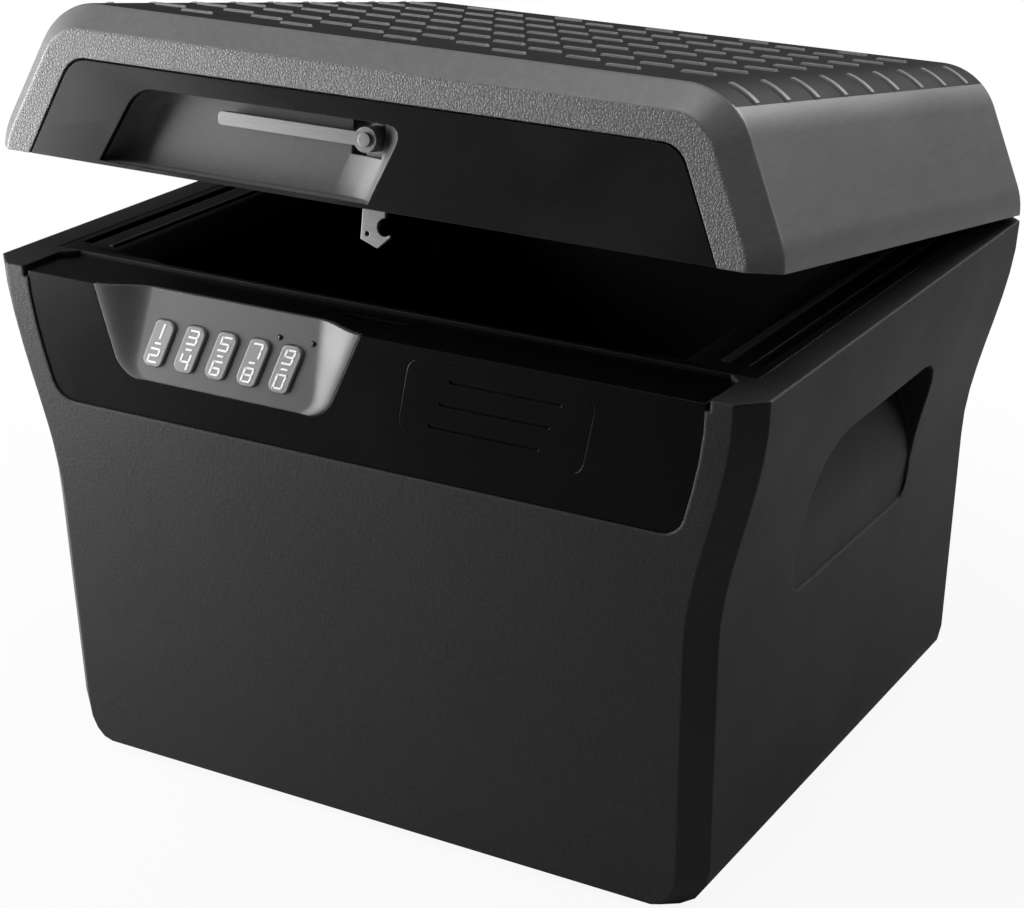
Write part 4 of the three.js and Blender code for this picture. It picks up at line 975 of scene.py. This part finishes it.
@dataclass
class LidShell:
    """The lid's skin: an arched shell with chamfered ends and hinge lugs, and its tread bars."""

    half_width: float = 0.211
    bottom: float = 0.2712
    height: float = 0.075
    front: float = -0.173
    back: float = 0.1755
    lower_radius: float = 0.037
    upper_radius: float = 0.035
    flat_half: float = 0.1575
    side_angle: float = math.radians(25.2)
    wall: float = 0.003
    chamfer: float = 0.012
    fillet: float = 0.0032
    fascia_half: float = 0.1855
    fascia_top_half: float = 0.163
    fascia_height: float = 0.0495
    fascia_radius: float = 0.014
    hinge_x: float = 0.118
    lug_length: float = 0.016
    lug_gap: float = 0.0005
    lug_radius: float = 0.005
    lug_web: float = 0.0111
    lug_clearance: float = 0.0014
    pin_radius: float = 0.0024
    fit: float = 0.0003
    overrun: float = 0.008
    lower_steps: int = 5
    upper_steps: int = 22
    fillet_steps: int = 4
    fascia_steps: int = 10
    front_facing: float = 0.93
    top_facing: float = math.sin(math.radians(48))
    top_lean: float = 0.3
    smooth_angle: float = 24.0
    bar_smooth_angle: float = 20.0

    def ring(self, inset: float, y: float, low: float = 0.0) -> Ring:
        """Draws the lid's outline, inset, in a plane across its depth.

        Args:
            inset: How far inside the skin the ring runs.
            y: The plane's place.
            low: How far the ring's foot is carried down.

        Returns:
            The ring, from the right foot over the top to the left foot.
        """
        side = [(self.half_width - inset, self.bottom - low)]
        for i in range(0 if low else 1, self.lower_steps + 1):
            angle = self.side_angle * i / self.lower_steps
            radius = self.lower_radius - inset
            side.append((
                self.half_width - self.lower_radius + radius * math.cos(angle),
                self.bottom + radius * math.sin(angle),
            ))
        for i in range(self.upper_steps + 1):
            angle = self.side_angle + (math.pi / 2 - self.side_angle) * i / self.upper_steps
            radius = self.upper_radius - inset
            side.append((
                self.flat_half + radius * math.cos(angle),
                self.bottom + self.height - self.upper_radius + radius * math.sin(angle),
            ))
        return [Vector((x, y, z)) for x, z in side] + [Vector((-x, y, z)) for x, z in reversed(side)]

    def chamfer_profile(self) -> Outline:
        """Draws one end's chamfer with both its edges rounded.

        Returns:
            Inset and depth of each point, from the flat end outwards.
        """
        run = self.fillet * math.tan(math.pi / 8)
        points = []
        for i in range(self.fillet_steps + 1):
            angle = math.pi / 4 * i / self.fillet_steps
            inset = self.chamfer + run - self.fillet * math.sin(angle)
            points.append((inset, self.fillet * (1 - math.cos(angle))))
        points += [(depth, inset) for inset, depth in reversed(points)]
        return points

    def body(self, inset: float, low: float = 0.0) -> bpy.types.Object:
        """Makes the lid's whole form as a closed object.

        Args:
            inset: The wall that it is inset by.
            low: How far its foot is carried down.

        Returns:
            The form, drawn closed.
        """
        profile = self.chamfer_profile()
        rings = [self.ring(inset + a, self.front + inset + d, low) for a, d in profile]
        rings += [self.ring(inset + a, self.back - inset - d, low) for a, d in reversed(profile)]
        return loft("lid_form", rings)

    def fascia_hole(self) -> bpy.types.Object:
        """Makes the tool that opens the front for the black fascia.

        Returns:
            A closed prism through the front wall.
        """
        top = self.bottom + self.fascia_height
        corners = [
            (-self.fascia_half, self.bottom), (self.fascia_half, self.bottom),
            (self.fascia_top_half, top), (-self.fascia_top_half, top),
        ]
        lower_points = 2 * (self.fascia_steps + 1)
        arch = rounded(corners, self.fascia_radius, self.fascia_steps)[lower_points:]
        low = self.bottom - self.overrun
        foot = [(-self.fascia_half, low), (self.fascia_half, low)]
        whole = foot + [(self.fascia_half, self.bottom)] + arch + [(-self.fascia_half, self.bottom)]
        ends = (self.front - self.overrun, self.front + self.wall + self.fit)
        return loft("fascia_hole", [[Vector((x, y, z)) for x, z in whole] for y in ends])

    def lug_span(self, side: int, slot: int) -> Point:
        """Returns the two ends in x of one hinge lug."""
        middle = side * self.hinge_x + slot * (self.lug_length + self.lug_gap)
        return middle - self.lug_length / 2, middle + self.lug_length / 2

    def shell(self, pose: LidPose) -> bpy.types.Object:
        """Builds the closed lid's shell.

        Args:
            pose: The lid's hinge line.

        Returns:
            The shell with its lugs, drawn closed.
        """
        shell = self.body(0.0)
        combine(shell, [self.body(self.wall, self.overrun), self.fascia_hole()], "DIFFERENCE")
        y, z = pose.hinge_y, pose.hinge_z
        lugs, notches, bores = [], [], []
        for side in (-1, 1):
            left, right = self.lug_span(side, 0)
            lugs.append(rod_x("lug", self.lug_radius, (left, right), y, z))
            lugs.append(box("web", (left, y - self.lug_radius, z), (right, y, z + self.lug_web)))
            reach = self.lug_radius + self.lug_clearance
            for slot in (-1, 1):
                low, high = self.lug_span(side, slot)
                start = (low - self.lug_gap, y - reach, z - reach)
                end = (high + self.lug_gap, y + reach, z + reach)
                notches.append(box("notch", start, end))
            middle, past = side * self.hinge_x, self.lug_length * 2
            bores.append(rod_x("bore", self.pin_radius + self.fit, (middle - past, middle + past), y, z))
        combine(shell, lugs, "UNION")
        return combine(shell, [*notches, *bores], "DIFFERENCE")

    def paint(self, shell: bpy.types.Object) -> None:
        """Sets each face's finish by where it looks: satin, grained on the front and dark on top.

        Args:
            shell: The closed lid's shell.
        """
        for face in shell.data.polygons:
            if face.normal.y < -self.front_facing:
                face.material_index = 1
            elif face.normal.z > self.top_facing and abs(face.normal.y) < self.top_lean:
                face.material_index = 2
            else:
                face.material_index = 0

    def build(self, finishes: Finishes, pose: LidPose) -> None:
        """Builds the shell and its tread bars and dresses them.

        Args:
            finishes: The materials.
            pose: The lid's pose at rest.
        """
        shell = smooth(self.shell(pose), self.smooth_angle)
        shell.name = "lid_moulding"
        self.paint(shell)
        shell.data.transform(pose.matrix())
        skins = [finishes[name] for name in ("lid_satin", "lid_leather_grain", "lid_top_black")]
        dress(shell, "lid", skins, ["lid_shell"])
        # The bars' lighter finish is a painted highlight.
        bars = TreadBars(self).build(finishes["tread_bar"])
        bars.data.transform(pose.matrix())
        smooth(bars, self.bar_smooth_angle, weighted=False)
        dress(bars, "lid", [finishes["tread_bar"]], [])


@dataclass
class TreadBars:
    """The raised bars on the lid's top and round its shoulders."""

    lid: LidShell
    pitch_x: float = 0.0288
    pitch_y: float = 0.0344
    length: float = 0.015
    width: float = 0.0046
    height: float = 0.0011
    slope: float = 0.0009
    flat_columns: int = 5
    row_pairs: int = 4
    shoulder_run: float = 0.017
    shoulder_offset: float = 0.0085
    shoulder_cuts: int = 11
    side_slope_share: float = 0.45
    crest_narrowing_share: float = 0.17

    def flat_tree(self, columns: int, rows: int) -> RepeatTree:
        """Makes the tree for a lattice of straight bars.

        Args:
            columns: How many bars stand side by side.
            rows: How many bars stand behind each other.

        Returns:
            The tree, which still has to be run.
        """
        tree = RepeatTree("Straight tread bars", {
            "Pitch X": self.pitch_x * 2, "Pitch Y": self.pitch_y, "Columns": columns, "Rows": rows,
            "Length": self.length, "Width": self.width, "Height": self.height, "Slope": self.slope,
            "Top": self.lid.bottom + self.lid.height,
        })
        grid = tree.node("GeometryNodeMeshGrid")
        for axis, pitch, count in (("X", "Pitch X", "Columns"), ("Y", "Pitch Y", "Rows")):
            gaps = tree.math("SUBTRACT", tree.size(count), 1.0)
            tree.link(tree.math("MULTIPLY", gaps, tree.size(pitch)), grid.inputs["Size " + axis])
            tree.link(tree.size(count), grid.inputs["Vertices " + axis])
        lift = tree.node("GeometryNodeTransform")
        tree.link(grid.outputs["Mesh"], lift.inputs["Geometry"])
        tree.link(tree.vector(z=tree.size("Top")), lift.inputs["Translation"])
        bar = tree.node("GeometryNodeMeshCube")
        both_heights = tree.math("MULTIPLY", tree.size("Height"), 2.0)
        tree.link(tree.vector(tree.size("Length"), tree.size("Width"), both_heights), bar.inputs["Size"])
        x, y, z = tree.position()
        low = tree.math("LESS_THAN", z, 0.0)
        high = tree.math("SUBTRACT", 1.0, low)
        outward = tree.math("MULTIPLY", tree.math("SIGN", x), tree.size("Slope"))
        narrowing = tree.math("MULTIPLY", tree.size("Slope"), -self.side_slope_share)
        inward = tree.math("MULTIPLY", tree.math("SIGN", y), narrowing)
        spread = tree.vector(tree.math("MULTIPLY", outward, low), tree.math("MULTIPLY", inward, high))
        shaped = tree.node("GeometryNodeSetPosition")
        tree.link(bar.outputs["Mesh"], shaped.inputs["Geometry"])
        tree.link(spread, shaped.inputs["Offset"])
        spots = tree.node("GeometryNodeInstanceOnPoints")
        tree.link(lift.outputs["Geometry"], spots.inputs["Points"])
        tree.link(shaped.outputs["Geometry"], spots.inputs["Instance"])
        tree.finish(spots.outputs["Instances"])
        return tree

    def shoulder_tree(self) -> RepeatTree:
        """Makes the tree for the bars that bend over both round shoulders.

        Returns:
            The tree, which still has to be run.
        """
        lid = self.lid
        tree = RepeatTree("Shoulder tread bars", {
            "Rows": self.row_pairs * 2 + 1, "Pitch": self.pitch_y, "Radius": lid.upper_radius,
            "Start": math.acos(self.shoulder_offset / lid.upper_radius),
            "Sweep": self.shoulder_run / lid.upper_radius, "Width": self.width, "Height": self.height,
            "Slope": self.slope / lid.upper_radius, "Axis X": lid.flat_half,
            "Axis Z": lid.bottom + lid.height - lid.upper_radius,
        })
        bar = tree.node("GeometryNodeMeshCube")
        bar.inputs["Size"].default_value = (1.0, 1.0, 2.0)
        bar.inputs["Vertices X"].default_value = self.shoulder_cuts
        bent = tree.node("GeometryNodeSetPosition")
        tree.link(bar.outputs["Mesh"], bent.inputs["Geometry"])
        tree.link(self.bent_place(tree), bent.inputs["Position"])
        rows = tree.node("GeometryNodeMeshLine")
        gaps = tree.math("SUBTRACT", tree.size("Rows"), 1.0)
        span = tree.math("MULTIPLY", gaps, tree.size("Pitch"))
        tree.link(tree.vector(y=tree.math("MULTIPLY", span, -0.5)), rows.inputs["Start Location"])
        tree.link(tree.vector(y=tree.size("Pitch")), rows.inputs["Offset"])
        tree.link(tree.size("Rows"), rows.inputs["Count"])
        spots = tree.node("GeometryNodeInstanceOnPoints")
        tree.link(rows.outputs["Mesh"], spots.inputs["Points"])
        tree.link(bent.outputs["Geometry"], spots.inputs["Instance"])
        turned = tree.node("GeometryNodeTransform")
        turned.inputs["Rotation"].default_value = (0.0, 0.0, math.pi)
        tree.link(spots.outputs["Instances"], turned.inputs["Geometry"])
        both = tree.node("GeometryNodeJoinGeometry")
        tree.link(spots.outputs["Instances"], both.inputs["Geometry"])
        tree.link(turned.outputs["Geometry"], both.inputs["Geometry"])
        tree.finish(both.outputs["Geometry"])
        return tree

    def bent_place(self, tree: RepeatTree) -> bpy.types.NodeSocket:
        """Adds the nodes that bend a unit bar round the right shoulder.

        Args:
            tree: The shoulder bars' tree.

        Returns:
            The socket of each point's new place.
        """
        x, y, z = tree.position()
        high = tree.math("GREATER_THAN", z, 0.0)
        crest_slope = tree.math("MULTIPLY", high, tree.size("Slope"))
        trim = tree.math("MULTIPLY", tree.math("MULTIPLY", x, 2.0), crest_slope)
        along = tree.math("MULTIPLY", tree.math("ADD", x, 0.5), tree.size("Sweep"))
        angle = tree.math("ADD", tree.math("SUBTRACT", tree.size("Start"), along), trim)
        radius = tree.math("ADD", tree.size("Radius"), tree.math("MULTIPLY", z, tree.size("Height")))
        narrow = tree.math("SUBTRACT", 1.0, tree.math("MULTIPLY", high, self.crest_narrowing_share))
        across = tree.math("MULTIPLY", tree.math("MULTIPLY", y, tree.size("Width")), narrow)
        out = tree.math("MULTIPLY", radius, tree.math("COSINE", angle))
        up = tree.math("MULTIPLY", radius, tree.math("SINE", angle))
        return tree.vector(
            tree.math("ADD", tree.size("Axis X"), out), across, tree.math("ADD", tree.size("Axis Z"), up),
        )

    def build(self, material: bpy.types.Material) -> bpy.types.Object:
        """Makes all bars as one piece, drawn on the closed lid.

        Args:
            material: The bars' finish.

        Returns:
            The bars.
        """
        rows, columns = self.row_pairs * 2, self.flat_columns
        trees = (self.flat_tree(columns, rows + 1), self.flat_tree(columns + 1, rows), self.shoulder_tree())
        whole = bmesh.new()
        for index, tree in enumerate(trees):
            part = tree.make(f"tread_part_{index}", material)
            whole.from_mesh(part.data)
            bpy.data.objects.remove(part)
        return from_bmesh("lid_tread_bars", whole)


@dataclass
class Keypad:
    """The silver dish, its five keys with their digits, and the two lamps."""

    rim: float = 0.270
    ledge: float = 0.268
    front: float = -0.1755
    lean: float = 0.0155
    fascia_recess: float = 0.0008
    bottom: float = 0.2215
    left_foot: float = -0.1325
    left_top: float = -0.1445
    right_foot: float = -0.0125
    right_top: float = 0.010
    corner: float = 0.011
    depth: float = 0.010
    step: float = 0.0004
    foot_run: float = 0.008
    top_run: float = 0.029
    thickness: float = 0.002
    key_pitch: float = 0.0186
    first_key: float = -0.110
    key_z: float = 0.2415
    key_width: float = 0.0118
    key_height: float = 0.024
    key_radius: float = 0.0036
    key_lean: float = 0.38
    key_proud: float = 0.0016
    key_foot: float = -0.0033
    flange: float = 0.001
    crown: float = 0.0007
    lamp_xs: tuple[float, float] = (-0.040, -0.021)
    lamp_z: float = 0.256
    lamp_radius: float = 0.0011
    lamp_sides: int = 24
    fit: float = 0.0003
    cutter_reach: float = 0.008
    rows: int = 26
    columns: int = 14
    corner_rows: int = 8
    crown_steps: int = 4
    dish_smooth_angle: float = 30.0
    cap_smooth_angle: float = 40.0
    lamp_bevel: float = 0.0002

    def face(self, z: float) -> float:
        """Returns the fascia's face in y at a height."""
        return self.front + self.lean * (self.rim - z) / self.rim + self.fascia_recess

    def slope(self) -> float:
        """Returns how fast the dish sinks with height."""
        return (self.depth - self.step) / (self.ledge - self.bottom)

    def dish_depth(self, z: float) -> float:
        """Returns the dish's depth at a height."""
        return self.step + self.slope() * (z - self.bottom)

    def on_panel(self, x: float, z: float) -> Matrix:
        """Finds the turn from a flat drawing, x across and y up, to the tilted key panel.

        Args:
            x: The place across the panel.
            z: The height on the panel.

        Returns:
            The matrix that puts a drawing there.
        """
        tilt = math.atan(self.slope() - self.lean / self.rim)
        place = Matrix.Translation((x, self.face(z) + self.dish_depth(z), z))
        return place @ Matrix.Rotation(math.pi / 2 - tilt, 4, "X")

    def span(self, z: float) -> Point:
        """Finds the dish's width at a height.

        Args:
            z: The height.

        Returns:
            Its left and its right edge.
        """
        risen = (z - self.bottom) / (self.ledge - self.bottom)
        low = max(0.0, self.corner - (z - self.bottom))
        pull = self.corner - math.sqrt(max(0.0, self.corner**2 - low**2))
        return (
            self.left_foot + (self.left_top - self.left_foot) * risen + pull,
            self.right_foot + (self.right_top - self.right_foot) * risen - pull,
        )

    def key_outline(self, grow: float) -> Outline:
        """Draws a leaning key's outline about its middle.

        Args:
            grow: The margin that it is grown by.

        Returns:
            The outline with rounded corners.
        """
        width, height = self.key_width / 2 + grow, self.key_height / 2 + grow
        lean = self.key_lean * height
        corners = [
            (-width - lean, -height), (width - lean, -height),
            (width + lean, height), (-width + lean, height),
        ]
        return rounded(corners, self.key_radius + grow)

    def prism(self, outline: Outline, levels: Sequence[Point], place: Matrix) -> bpy.types.Object:
        """Lofts an outline through levels and puts it on the panel.

        Args:
            outline: The outline about its middle.
            levels: Height and scale of the outline at each level.
            place: Where it goes.

        Returns:
            A closed object.
        """
        rings = [
            [place @ Vector((x * scale, y * scale, level)) for x, y in outline] for level, scale in levels
        ]
        return loft("prism", rings)

    def levels(self) -> list[float]:
        """Lists the dish's heights, close together round its lower corners.

        Returns:
            The heights, from low to high.
        """
        heights = []
        for i in range(self.corner_rows):
            turn = math.pi / 2 * (i + 1) / (self.corner_rows + 1)
            heights.append(self.bottom + self.corner * (1 - math.cos(turn)))
        for i in range(self.rows + 1):
            straight = self.ledge - self.bottom - self.corner
            heights.append(self.bottom + self.corner + straight * i / self.rows)
        return heights

    def bezel(self) -> bpy.types.Object:
        """Makes the dish's skin with its key and lamp holes.

        Returns:
            The dish.
        """
        columns = self.columns
        rings = []
        for z in self.levels():
            left, right = self.span(z)
            share_up = (z - self.bottom) / (self.ledge - self.bottom)
            run = self.foot_run + (self.top_run - self.foot_run) * share_up
            across = [(left + run * i / columns, i / columns) for i in range(columns + 1)]
            across += [(right - run * i / columns, i / columns) for i in range(columns, -1, -1)]
            depth = [self.face(z) + self.dish_depth(z) * smoothstep(share) for _, share in across]
            near = [Vector((x, y, z)) for (x, _), y in zip(across, depth)]
            far = [Vector((x, y + self.thickness, z)) for (x, _), y in zip(across, depth)]
            rings.append(near + far[::-1])
        bezel = loft("keypad_dish", rings)
        through = [(-self.cutter_reach, 1.0), (self.cutter_reach, 1.0)]
        key_hole = self.key_outline(self.fit)
        radius = self.lamp_radius + self.fit
        turns = [2 * math.pi * i / self.lamp_sides for i in range(self.lamp_sides)]
        bore = [(math.cos(turn) * radius, math.sin(turn) * radius) for turn in turns]
        holes = [self.prism(key_hole, through, self.on_panel(x, self.key_z)) for x in self.key_xs()]
        holes += [self.prism(bore, through, self.on_panel(x, self.lamp_z)) for x in self.lamp_xs]
        return combine(bezel, holes, "DIFFERENCE")

    def key_xs(self) -> list[float]:
        """Returns the keys' middles in x."""
        return [self.first_key + self.key_pitch * i for i in range(5)]

    def key(self, x: float, digits: str) -> bpy.types.Object:
        """Builds one key with a flange, a crowned cap and two digits.

        Args:
            x: The key's middle.
            digits: The upper and the lower digit.

        Returns:
            The key, its digits in the second material slot.
        """
        place = self.on_panel(x, self.key_z)
        top = self.key_proud
        levels = [(self.key_foot, 0.0)]
        for i in range(self.crown_steps + 1):
            angle = math.pi / 2 * i / self.crown_steps
            levels.append((top - self.crown * (1 - math.sin(angle)), self.crown * (1 - math.cos(angle))))
        cap = loft("cap", [
            [place @ Vector((x, y, level)) for x, y in self.key_outline(-inset)] for level, inset in levels
        ])
        flange_levels = [(self.key_foot, 1.0), (self.key_foot + self.flange, 1.0)]
        flange = self.prism(self.key_outline(self.flange), flange_levels, place)
        combine(cap, [flange], "UNION")
        smooth(cap, self.cap_smooth_angle)
        marks = DigitMarks(self.key_lean).build(digits, place @ Matrix.Translation((0, 0, top)))
        whole = bmesh.new()
        whole.from_mesh(cap.data)
        for face in whole.faces:
            face.material_index = 0
        marks_from = len(whole.faces)
        whole.from_mesh(marks.data)
        whole.faces.ensure_lookup_table()
        for face in whole.faces[marks_from:]:
            face.material_index = 1
        mesh = bpy.data.meshes.new("key")
        whole.to_mesh(mesh)
        whole.free()
        bpy.data.objects.remove(marks)
        cap.data = mesh
        return cap

    def build(self, finishes: Finishes) -> None:
        """Builds and dresses the dish, keys and lamps.

        Args:
            finishes: The materials.
        """
        bezel = smooth(self.bezel(), self.dish_smooth_angle)
        dress(bezel, "case", [finishes["silver_paint"]], ["keypad_bezel"])
        for x, digits in zip(self.key_xs(), ("12", "34", "56", "78", "90")):
            node = f"key_{digits[0]}_{digits[1]}"
            key = self.key(x, digits)
            key.name = node + "_cap"
            dress(key, node, [finishes["key_frost"], finishes["digit_paint"]], [node])
        for node in ("lamp_left", "lamp_right"):
            lamp = smooth(merged_copy(node, node + "_lens", self.lamp_bevel), self.cap_smooth_angle)
            dress(lamp, "case", [finishes["lamp_lens"]], [node])


@dataclass
class DigitMarks:
    """Plain digits made of short bars, one above the other, with a dash between them."""

    lean: float
    width: float = 0.0048
    height: float = 0.0068
    stroke: float = 0.0010
    thickness: float = 0.00012
    drop: float = 0.00008
    spread: float = 0.0063
    dash: float = 0.0026

    def strokes(self, digit: str) -> list[tuple[Point, Point]]:
        """Finds the bars of one digit in a unit cell, from its lower left corner.

        Args:
            digit: The digit.

        Returns:
            Both ends of each bar.
        """
        bars = {
            "a": ((0, 1), (1, 1)), "b": ((1, 0.5), (1, 1)), "c": ((1, 0), (1, 0.5)), "d": ((0, 0), (1, 0)),
            "e": ((0, 0), (0, 0.5)), "f": ((0, 0.5), (0, 1)), "g": ((0, 0.5), (1, 0.5)),
            "m": ((0.5, 0), (0.5, 1)),
        }
        letters = {
            "1": "m", "2": "abged", "3": "abgcd", "4": "fgbc", "5": "afgcd", "6": "afgedc", "7": "abc",
            "8": "abcdefg", "9": "abfgcd", "0": "abcdef",
        }
        return [bars[letter] for letter in letters[digit]]

    def bar(self, shape: bmesh.types.BMesh, start: Vector, end: Vector, place: Matrix) -> None:
        """Adds one bar with square ends to a bmesh.

        Args:
            shape: The bmesh.
            start: One end of the bar's middle line.
            end: The other end.
            place: The key's top.
        """
        along = (end - start).normalized() * (self.stroke / 2)
        side = Vector((-along.y, along.x))
        corners = [start - along - side, end + along - side, end + along + side, start - along + side]
        rings = [
            [shape.verts.new(place @ Vector((p.x + self.lean * p.y, p.y, level))) for p in corners]
            for level in (-self.thickness, self.drop)
        ]
        for i in range(4):
            j = (i + 1) % 4
            shape.faces.new((rings[0][i], rings[0][j], rings[1][j], rings[1][i]))
        shape.faces.new(rings[0][::-1])
        shape.faces.new(rings[1])

    def build(self, digits: str, place: Matrix) -> bpy.types.Object:
        """Makes both digits and the dash as one object.

        Args:
            digits: The upper and the lower digit.
            place: The key's top.

        Returns:
            The raised marks.
        """
        shape = bmesh.new()
        for digit, middle in zip(digits, (self.spread, -self.spread)):
            for start, end in self.strokes(digit):
                low = Vector((-self.width / 2, middle - self.height / 2))
                points = [low + Vector((p[0] * self.width, p[1] * self.height)) for p in (start, end)]
                self.bar(shape, points[0], points[1], place)
        self.bar(shape, Vector((-self.dash / 2, 0)), Vector((self.dash / 2, 0)), place)
        return from_bmesh("digits", shape)


@dataclass(frozen=True)
class CopyRow:
    """One CAD node to copy: its new name, body, slot, finish, bevel and greatest smoothed angle."""

    node: str
    name: str
    body: str
    slot: str
    finish: str
    bevel: float = 0.0
    angle: float = 30.0


@dataclass
class PlainCopies:
    """Pieces whose CAD shape is right and only wants rounded edges, smooth shading and its finish."""

    rows: tuple[CopyRow, ...] = (
        CopyRow("case_shell", "case_moulding", "case", "charcoal_shell", "charcoal_moulding", angle=24),
        CopyRow("case_liner", "case_tub", "case", "dark_lining", "dark_lining"),
        # The rim plate's darker black is painted shade under the lid.
        CopyRow("case_deck", "case_rim_plate", "case", "charcoal_shell", "rim_painted_shade_and_highlight", 0.0005),
        CopyRow("case_gasket", "case_seal", "case", "black_rubber", "gasket_rubber", 0.0004),
        CopyRow("front_fascia", "lock_fascia", "case", "gloss_black", "fascia_black", angle=28),
        CopyRow("battery_cover", "battery_door", "battery_cover", "gloss_black", "fascia_black", 0.0003),
        # The front plate's lighter black is partly painted light.
        CopyRow("lid_fascia", "lid_front_plate", "lid", "gloss_black", "lid_plate_black_painted_light", angle=28),
        CopyRow("lid_recess_tub", "lid_hand_recess", "lid", "dark_lining", "recess_grey"),
        CopyRow("lid_liner", "lid_inner_plate", "lid", "dark_lining", "dark_lining", 0.0005),
        CopyRow("latch_lever", "latch_bar", "latch", "steel", "zinc_steel", 0.0005),
        CopyRow("latch_hook", "latch_blade", "latch", "steel", "zinc_steel", 0.0003),
        CopyRow("latch_pivot_pin", "latch_pin", "lid", "steel", "zinc_steel", 0.0002),
        CopyRow("lock_bolt", "lock_slider", "bolt", "steel", "zinc_steel", 0.0004),
        CopyRow("hinge_pin_left", "hinge_rod_left", "case", "steel", "zinc_steel", 0.0003),
        CopyRow("hinge_pin_right", "hinge_rod_right", "case", "steel", "zinc_steel", 0.0003),
    )

    def build(self, finishes: Finishes) -> None:
        """Builds and dresses every copy.

        Args:
            finishes: The materials.
        """
        for row in self.rows:
            piece = smooth(merged_copy(row.node, row.name, row.bevel), row.angle)
            dress(piece, row.body, [finishes[row.finish]], [row.node])


def paint_hidden_nodes(finishes: Finishes) -> None:
    """Gives every CAD node the finish of its slot.

    Args:
        finishes: The materials.
    """
    for row in frame["record"]["subparts"]:
        node = frame["nodes"][row["node"]]
        material = finishes.for_slot(row["material_slot"])
        if not node.data.materials:
            node.data.materials.append(material)
        for slot in node.material_slots:
            slot.material = material


def main() -> None:
    """Builds the camera, the studio and every visible piece."""
    logging.basicConfig(level=logging.INFO, format="%(message)s")
    bpy.context.scene.view_settings.view_transform = "Standard"
    Camera().build()
    Studio().build()
    finishes = Finishes(GrainLibrary())
    pose = LidPose()
    paint_hidden_nodes(finishes)
    PlainCopies().build(finishes)
    Keypad().build(finishes)
    LidShell().build(finishes, pose)


if __name__ == "__main__":
    main()
